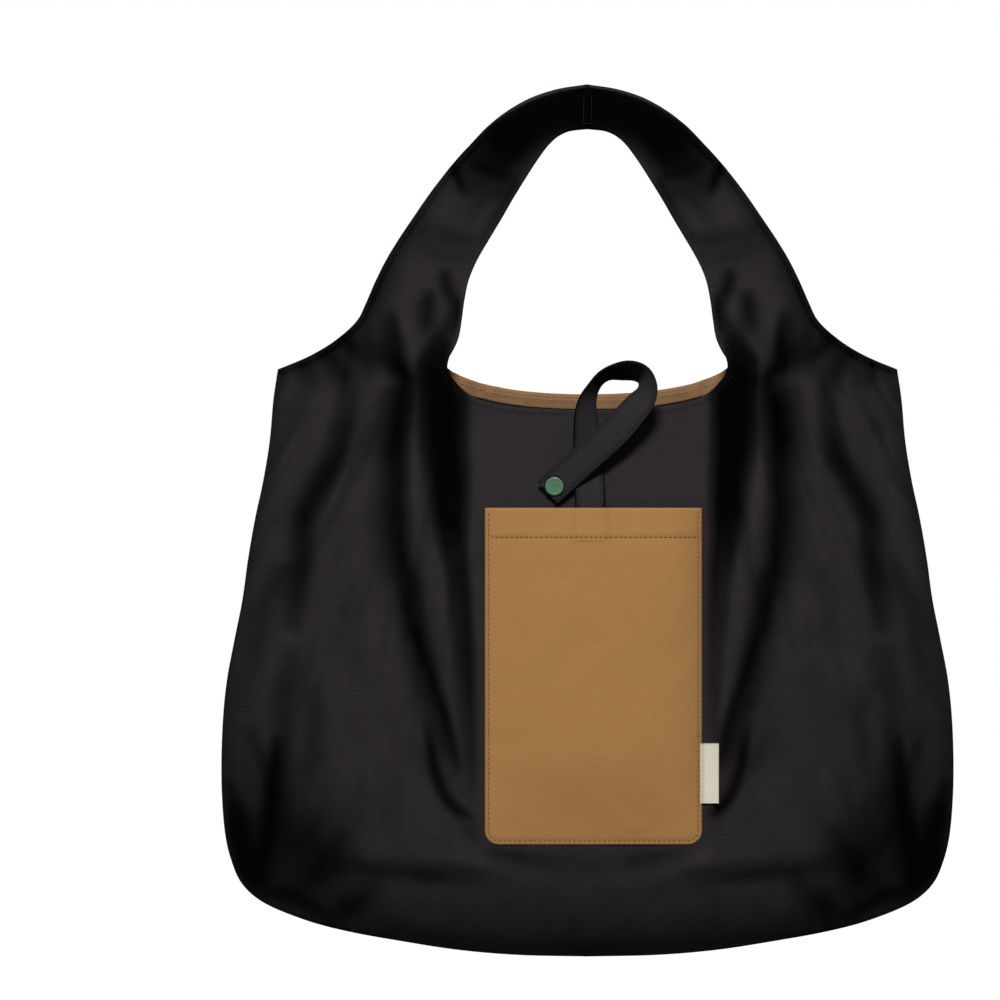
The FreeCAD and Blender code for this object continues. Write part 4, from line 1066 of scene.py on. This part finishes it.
y0 = root_y(PZ1)
CHAIN = [((SX, root_y(-302.5), -302.5), 0), ((SX, root_y(-295), -295.0), 0), ((SX, root_y(-288), -288.0), 0),
         ((SX, y0 + 0.2, PZ1 + 1.4), 0), ((1.3, y0 + 2.2, -272.0), 2), ((0.9, -43.4, -262.0), 5), ((0.4, -41.8, -250.0), 12), ((-0.3, -41.0, -238.0), 22),
         ((-1.2, -40.8, -227.0), 34), ((-1.3, -41.0, -217.5), 44), ((0.3, -41.6, -209.0), 56), ((4.4, -42.6, -201.0), 67), ((11.5, -44.2, -194.4), 65),
         ((20.5, -45.7, -191.8), 54), ((30.0, -47.2, -191.3), 50), ((37.4, -48.7, -194.8), 54), ((39.4, -50.0, -202.0), 50),
         ((36.4, -51.4, -210.0), 32), ((30.0, -52.2, -218.0), 18), ((21.8, -52.3, -227.6), 6), ((13.0, -52.1, -236.3), 0), ((1.0, -51.2, -247.0), 0),
         ((-10.5, -49.9, -257.3), 0), ((-20.0, -48.6, -265.9), 0), ((-26.8, -47.6, -272.1), 0)]
CP, CW = strap_frames([c[0] for c in CHAIN], [c[1] for c in CHAIN])
CL = np.r_[0, np.cumsum(np.linalg.norm(np.diff(CP, axis=0), axis=1))]
chain_p, chain_w = natural(CL, CP), natural(CL, CW)


def strap(name, s0, s1, ends, width=20.0, thick=1.1):
    """A stretch of the strap as a closed band with soft rims and two stitched grooves."""
    n = int((s1 - s0) / 1.0)
    q = np.linspace(s0, s1, n + 1)
    p, w = chain_p(q), chain_w(q)
    w /= np.linalg.norm(w, axis=1)[:, None]
    t = np.gradient(p, axis=0)
    t /= np.linalg.norm(t, axis=1)[:, None]
    w -= t * (w * t).sum(1)[:, None]
    w /= np.linalg.norm(w, axis=1)[:, None]
    nn = np.cross(w, t)
    nn /= np.linalg.norm(nn, axis=1)[:, None]
    h = width / 2
    us = np.array([-1, -.985, -.93, -.86, -.80, -.74, -.6, -.35, 0, .35, .6, .74, .80, .86, .93, .985, 1.0])
    prof = np.array([0, .55, .92, .9, .60, .9, 1, 1.02, 1.03, 1.02, 1, .9, .60, .9, .92, .55, 0])
    ring = [(u * h, a * thick / 2) for u, a in zip(us, prof)] + [(u * h, -a * thick / 2) for u, a in zip(us[1:-1][::-1], prof[1:-1][::-1])]
    R = len(ring)
    verts, uv, sh = [], [], []
    for i in range(n + 1):
        rip = 0.12 * math.sin(q[i] / 3.1) + 0.1 * math.sin(q[i] / 7.3 + 1)
        end = 1.0
        for (u, a) in ring:
            verts.append(p[i] + w[i] * u + nn[i] * (a + rip * 0.4))
            uv.append((u, q[i] + (300 if a < 0 else 0)))
            # painted shade: black over the loop's inner face at the top, dark lines at the stitch rows and the edges,
            # and a dark rim along the standing part
            under = float(smooth(np.array((q[i] - CL[11] + 2) / 6.0)) * (1 - smooth(np.array((q[i] - CL[15] + 4) / 7.0)))) * (0.25 if u < -9.2 else 1.0)
            painted_shade = 1 - (1 - 0.5 * math.exp(-((abs(u) - 8.0) / 0.7) ** 2)) * (1 - 0.55 * math.exp(-((abs(u) - 10.0) / 0.7) ** 2))
            rim = 0.93 * float(smooth(np.array((abs(u) - 8.9) / 0.5))) * (1 - float(smooth(np.array((q[i] - CL[10]) / 8.0))))
            sh.append(1 - (1 - painted_shade) * (1 - 0.985 * under) * (1 - rim))
    faces = []
    for i in range(n):
        for k in range(R):
            a, b = i * R + k, i * R + (k + 1) % R
            faces.append((a, b, b + R, a + R))
    faces.append(tuple(reversed(range(R))))
    faces.append(tuple(n * R + k for k in range(R)))
    ob = make(name, np.array(verts), faces, STRAP, np.array(uv), np.array(sh))
    # the cut ends are flat, so the band's shading runs straight through where two stretches meet
    for k in (-1, -2):
        ob.data.polygons[k].use_smooth = False
    return ob, (q, p, w, nn), np.repeat(q, R)


def strap_stitches(name, frames_, lo, hi, thick=1.1):
    q, p, w, nn = frames_
    k = (q >= lo) & (q <= hi)
    runs = []
    for u in (-8.0, 8.0):
        for s in (1, -1):
            pos = p[k] + w[k] * u + nn[k] * (s * thick * 0.32)
            runs.append((pos, nn[k] * s))
    return stitches(runs, THREAD_S, name, 2.2, 0.9, 0.22)


S_HEM = CL[3]
S_SPLIT = (CL[6] + CL[7]) / 2
S_END = CL[-1]
strap_low, fr_low, q_low = strap("closure_strap_standing", 0.0, S_SPLIT, None)
strap_top, fr_top, q_top = strap("closure_strap_turn", S_SPLIT, S_END, None)
st_low = strap_stitches("closure_standing_stitches", fr_low, S_HEM + 2, S_SPLIT - 0.5)
st_top = strap_stitches("closure_turn_stitches", fr_top, S_SPLIT + 0.5, S_END - 1.5)


def set_blend(ob, q):
    """Bakes the object's transform into its mesh."""
    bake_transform(ob)


def nearest_q(ob, frames_):
    q, p, _, _ = frames_
    co = np.zeros(len(ob.data.vertices) * 3)
    ob.data.vertices.foreach_get("co", co)
    co = co.reshape(-1, 3) / MM
    out = np.zeros(len(co))
    for i in range(0, len(co), 4000):
        c = co[i:i + 4000]
        out[i:i + 4000] = q[np.argmin(((c[:, None, :] - p[None]) ** 2).sum(2), 1)]
    return out


# ---- snap fastener -------------------------------------------------------------------------
def lathe(name, profile, centre, axis, mat, seg=48):
    """Turned part. profile: (radius, height) along the axis from the centre."""
    n = np.array(axis, float)
    n /= np.linalg.norm(n)
    u = np.cross(n, [0, 0, 1.0])
    u /= np.linalg.norm(u)
    v = np.cross(n, u)
    verts, faces, uv = [], [], []
    for i in range(seg):
        a = 2 * math.pi * i / seg
        for r, h in profile:
            verts.append(np.array(centre) + n * h + (u * math.cos(a) + v * math.sin(a)) * r)
            uv.append((a * 10, h + r))
    C = len(profile)
    for i in range(seg):
        j = (i + 1) % seg
        for k in range(C - 1):
            faces.append((i * C + k, j * C + k, j * C + k + 1, i * C + k + 1))
    me = make(name, np.array(verts), faces, mat, np.array(uv))
    import bmesh
    bm = bmesh.new()
    bm.from_mesh(me.data)
    bmesh.ops.remove_doubles(bm, verts=bm.verts, dist=1e-6)
    bmesh.ops.recalc_face_normals(bm, faces=bm.faces)
    bm.to_mesh(me.data)
    bm.free()
    return me


def rounded(r, h, edge, n=5):
    """Profile of a disc of height h with a rounded top edge, closed at the axis."""
    pts = [(0.0, 0.0), (r * 0.5, 0.0), (r - 0.15, 0.0), (r, 0.15)]
    for i in range(n + 1):
        a = math.pi / 2 * i / n
        pts.append((r - edge + edge * math.cos(a), h - edge + edge * math.sin(a)))
    return pts


q_pc = S_END - 6.4
pc = chain_p(np.array([q_pc]))[0]
tq = (chain_p(np.array([q_pc + 1.0]))[0] - chain_p(np.array([q_pc - 1.0]))[0])
tq /= np.linalg.norm(tq)
wq = chain_w(np.array([q_pc]))[0]
nq = np.cross(wq, tq)
nq /= np.linalg.norm(nq)
if nq[1] > 0:
    nq = -nq
cap_prof = rounded(6.2, 1.55, 0.8) + [(4.9, 1.58), (4.55, 1.5), (4.3, 1.42), (3.6, 1.50), (2.0, 1.58), (0.9, 1.60), (0.0, 1.60)]
snap_cap = lathe("snap_cap_turned", cap_prof, pc + nq * 0.52, nq, SNAP)
sock_prof = [(0.0, 0.0), (5.0, 0.0), (5.2, 0.2), (5.2, 0.9), (4.9, 1.15), (4.1, 1.3), (3.9, 1.5), (3.9, 2.3), (3.65, 2.6), (2.6, 2.6), (2.3, 2.45), (2.15, 2.2), (2.15, 0.9), (1.9, 0.8), (0.0, 0.8)]
# a thin near-black disc a little wider than the cap, under its rim: a painted shadow ring round the cap
painted_cap_shadow = lathe("painted_cap_shadow", [(0.0, 0.0), (6.95, 0.0), (7.0, 0.05), (6.9, 0.1), (0.0, 0.1)], pc + nq * 0.57, nq, PAINTED_SHADOW_MAT)
snap_socket = lathe("snap_socket_turned", sock_prof, pc - nq * 0.55, -nq, SNAP)
qs = CL[6]
ps = chain_p(np.array([qs]))[0]
tt = chain_p(np.array([qs + 1.0]))[0] - chain_p(np.array([qs - 1.0]))[0]
tt /= np.linalg.norm(tt)
ns = np.cross(chain_w(np.array([qs]))[0], tt)
ns /= np.linalg.norm(ns)
if ns[1] > 0:
    ns = -ns
stud_prof = [(0.0, 0.0), (5.0, 0.0), (5.2, 0.2), (5.2, 0.7), (4.8, 0.98), (3.4, 1.05), (2.5, 1.15), (1.75, 1.4), (1.6, 1.8), (1.75, 2.3), (1.92, 2.6), (1.85, 2.95), (1.45, 3.15), (0.7, 3.2), (0.0, 3.2)]
snap_stud = lathe("snap_stud_turned", stud_prof, ps + ns * 0.52, ns, SNAP)
stud_cap = lathe("stud_cap_turned", rounded(5.6, 0.95, 0.5) + [(4.0, 0.97), (3.7, 0.9), (2.0, 0.95), (0.0, 0.96)], ps - ns * 0.52, -ns, SNAP)


# ---- label ---------------------------------------------------------------------------------
def label():
    """A folded woven label: two layers sewn under the pocket's edge, with a round fold at its free end."""
    z0, z1, width = -478.3, -438.3, 11.0
    x0 = PX1 + 0.3
    zc = (z0 + z1) / 2
    rows = []
    prof = [(-1.4, 0.45), (0.2, .5), (2, .62), (4, .66), (6, .64), (8, .62), (9.6, .58), (10.5, .44), (10.9, .2), (11.0, 0), (10.9, -.2), (10.5, -.36), (9.6, -.42), (8, -.4), (6, -.4), (4, -.36), (2, -.32), (0.2, -.3), (-1.4, -.3)]
    inner = [(-1.4, 0.12), (0.2, .14), (2, .2), (4, .22), (6, .22), (8, .2), (9.4, .16), (10.2, .06), (10.4, 0), (10.2, -.06), (9.4, -.08), (8, -.08), (6, -.06), (4, -.04), (2, .0), (0.2, .02), (-1.4, .03)]
    verts, uv, sh = [], [], []
    zs = np.linspace(z0, z1, 44)
    ring = prof + inner[::-1]
    R = len(ring)
    for z in zs:
        for i, (dx, dy) in enumerate(ring):
            x = x0 + dx
            base = float(body_depth(np.array([x]), np.array([z]))[0]) + 1.25
            wav = 0.22 * math.sin((z - z0) / 6.4 + dx * 0.12) * min(1, max(0, dx / 6))
            verts.append((x, -(base + dy * 1.0 + wav), z))
            uv.append((dx + (40 if dy < 0 else 0), z))
            # painted shade where the label goes under the pocket's edge and at its two ends
            sh.append(0.45 * math.exp(-((dx - 0.2) / 0.8) ** 2) + 0.25 * math.exp(-((z - z0) / 0.5) ** 2) + 0.25 * math.exp(-((z - z1) / 0.5) ** 2))
    faces = []
    for r in range(len(zs) - 1):
        for k in range(R):
            a, b = r * R + k, r * R + (k + 1) % R
            faces.append((a, b, b + R, a + R))
    nP = len(prof)
    # end caps as quads between the outer and the inner line
    for r, flip in ((0, False), (len(zs) - 1, True)):
        o = [r * R + k for k in range(nP)]
        i_ = [r * R + nP + k for k in range(len(inner))][::-1]
        m = len(inner)
        tri = []
        for k in range(nP - 1):
            a, b = o[k], o[k + 1]
            c = i_[min(int(round(k * (m - 1) / (nP - 1))), m - 1)]
            d = i_[min(int(round((k + 1) * (m - 1) / (nP - 1))), m - 1)]
            tri.append((a, b, d) if c == d else (a, b, d, c))
        faces += [tuple(reversed(f)) if flip else f for f in tri]
    ob = make("side_label_woven", np.array(verts), faces, LABEL, np.array(uv), np.array(sh))
    return ob


side_label = label()


# ---- binding inside the side and bottom seam -----------------------------------------------
def binding():
    """Tape folded round the seam allowance, standing inwards from the seam."""
    path = resample([(CORNER[0] - 1.0, CORNER[1] - 4.0)] + [(x - 0.6, z + 0.3) for x, z in SIDE[1:12]] + [(x - 0.5, z + 0.6) for x, z in SIDE[12:-1]] + [(0, SIDE[-1][1] + 0.8)], 3.0)
    full = np.vstack([path, mirrored(path)[1:]])
    t = np.gradient(full, axis=0)
    t /= np.linalg.norm(t, axis=1)[:, None]
    n = np.stack([t[:, 1], -t[:, 0]], 1)
    c = np.array([0, -380.0])
    n *= np.sign(((c - full) * n).sum(1))[:, None]
    ring = [(0.3, .42), (1.5, .5), (3, .52), (5, .5), (5.8, .36), (6.2, .5), (7.2, .46), (7.7, .3), (7.85, 0), (7.7, -.3), (7.2, -.46), (6.2, -.5), (5.8, -.36), (5, -.5), (3, -.52), (1.5, -.5), (.3, -.42)]
    R = len(ring)
    verts, uv = [], []
    l = np.r_[0, np.cumsum(np.linalg.norm(np.diff(full, axis=0), axis=1))]
    for i in range(len(full)):
        wav = 0.3 * math.sin(l[i] / 9.0) + 0.2 * math.sin(l[i] / 4.1)
        for a, b in ring:
            q = full[i] + n[i] * (a + 0.1)
            verts.append((q[0], b * 0.95 + wav * 0.1 * a / 8, q[1]))
            uv.append((a, l[i]))
    faces = []
    for i in range(len(full) - 1):
        for k in range(R):
            a, b = i * R + k, i * R + (k + 1) % R
            faces.append((a, b, b + R, a + R))
    faces.append(tuple(reversed(range(R))))
    faces.append(tuple((len(full) - 1) * R + k for k in range(R)))
    return make("seam_binding_tape", np.array(verts), faces, TAPE, np.array(uv))


seam_tape = binding()

# ---- riding, baking, what stands for what ----------------------------------------------------
for o in (front_cloth, pieces["front"], pieces["front_seam"], pieces["front_in"], pieces["front_out"], pieces["front_in_st"]):
    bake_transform(o)
for o in (back_cloth, pieces["back"], pieces["back_seam"], pieces["back_in"], pieces["back_out"], pieces["back_in_st"]):
    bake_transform(o)
for o in (pocket_cloth, pocket_stitches, root_stitches, seam_tape):
    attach(o, "bag")
set_blend(strap_low, q_low)
set_blend(st_low, nearest_q(st_low, fr_low))
set_blend(strap_top, q_top)
set_blend(st_top, nearest_q(st_top, fr_top))
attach(snap_cap, "closure_tail")
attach(painted_cap_shadow, "closure_tail")
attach(snap_socket, "closure_tail")
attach(snap_stud, "closure_loop")
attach(stud_cap, "closure_loop")
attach(side_label, "label")

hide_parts("front_panel", "front_handle_left", "front_handle_right")
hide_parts("back_panel", "back_handle_left", "back_handle_right")
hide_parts("front_neck_stitching", "front_handle_stitching", "armhole_stitching")
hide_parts("back_neck_stitching", "back_handle_stitching", "armhole_stitching")
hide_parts("front_neck_facing", "front_handle_facing")
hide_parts("back_neck_facing", "back_handle_facing")
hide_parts("left_armhole_facing", "right_armhole_facing", "front_handle_facing")
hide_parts("left_armhole_facing", "right_armhole_facing", "back_handle_facing")
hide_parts("seam_binding")
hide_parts("pocket")
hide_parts("pocket_stitching")
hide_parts("closure_root_stitching")
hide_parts("closure_strap_root", "closure_strap_loop")
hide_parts("closure_strap_loop", "closure_strap_tail")
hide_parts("snap_cap")
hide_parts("snap_socket")
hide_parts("snap_stud")
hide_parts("stud_cap")
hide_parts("side_label")

# ---- floor, backdrop, light, camera -----------------------------------------------------------
def stage_mat(name, value):
    M = Mat(name)
    lp = M.node("ShaderNodeLightPath")
    seen = M.node("ShaderNodeBsdfDiffuse")
    seen.inputs[0].default_value = (value, value, value, 1)
    em = M.node("ShaderNodeEmission")
    em.inputs[0].default_value = (1, 1, 1, 1)
    em.inputs[1].default_value = 1.0
    add = M.node("ShaderNodeAddShader")
    M.link(seen.outputs[0], add.inputs[0])
    M.link(em.outputs[0], add.inputs[1])
    dull = M.node("ShaderNodeBsdfDiffuse")
    dull.inputs[0].default_value = (0.22, 0.22, 0.22, 1)
    mix = M.node("ShaderNodeMixShader")
    M.link(lp.outputs["Is Camera Ray"], mix.inputs[0])
    M.link(dull.outputs[0], mix.inputs[1])
    M.link(add.outputs[0], mix.inputs[2])
    M.link(mix.outputs[0], M.out.inputs[0])
    return M.m


floor = make("floor", np.array([(-30000, -30000, -900), (30000, -30000, -900), (30000, 30000, -900), (-30000, 30000, -900)], float), [(0, 1, 2, 3)], stage_mat("floor_pale", 0.8))

world = bpy.data.worlds.new("studio")
bpy.context.scene.world = world
world.use_nodes = True
wt = world.node_tree
wt.nodes.clear()
wo = wt.nodes.new("ShaderNodeOutputWorld")
bg = wt.nodes.new("ShaderNodeBackground")
bg2 = wt.nodes.new("ShaderNodeBackground")
mx = wt.nodes.new("ShaderNodeMixShader")
lp = wt.nodes.new("ShaderNodeLightPath")
bg.inputs[0].default_value = (1, 1, 1, 1)
bg.inputs[1].default_value = 0.045
bg2.inputs[0].default_value = (1, 1, 1, 1)
bg2.inputs[1].default_value = 1.0
wt.links.new(lp.outputs["Is Camera Ray"], mx.inputs[0])
wt.links.new(bg.outputs[0], mx.inputs[1])
wt.links.new(bg2.outputs[0], mx.inputs[2])
wt.links.new(mx.outputs[0], wo.inputs[0])


def area(name, loc, target, size, power):
    li = bpy.data.lights.new(name, "AREA")
    li.shape = "RECTANGLE"
    li.size, li.size_y = size
    li.energy = power
    ob = bpy.data.objects.new(name, li)
    ob.location = loc
    ob.rotation_euler = (Vector(target) - Vector(loc)).to_track_quat("-Z", "Y").to_euler()
    bpy.context.scene.collection.objects.link(ob)
    return ob


area("key", (-0.15, -2.5, 1.55), (0, 0, -0.3), (0.8, 0.5), 96)
area("fill_left", (-2.6, -1.6, 0.3), (0, 0, -0.3), (1.2, 1.2), 2.5)
area("fill_right", (2.6, -1.6, 0.3), (0, 0, -0.3), (1.2, 1.2), 2.5)
area("rear", (0.6, 2.6, 1.4), (0, 0, -0.3), (1.4, 1.0), 50)

cam = bpy.data.cameras.new("camera")
cam.sensor_width = 36.0
cam.lens = 36.0 * 10.0 / 0.66667
cam.clip_end = 100.0
camera = bpy.data.objects.new("camera", cam)
camera.location = (-0.0583, -10.0, -0.277)
camera.rotation_euler = (math.pi / 2, 0, 0)
bpy.context.scene.collection.objects.link(camera)
bpy.context.scene.camera = camera
bpy.context.scene.view_settings.view_transform = "Standard"
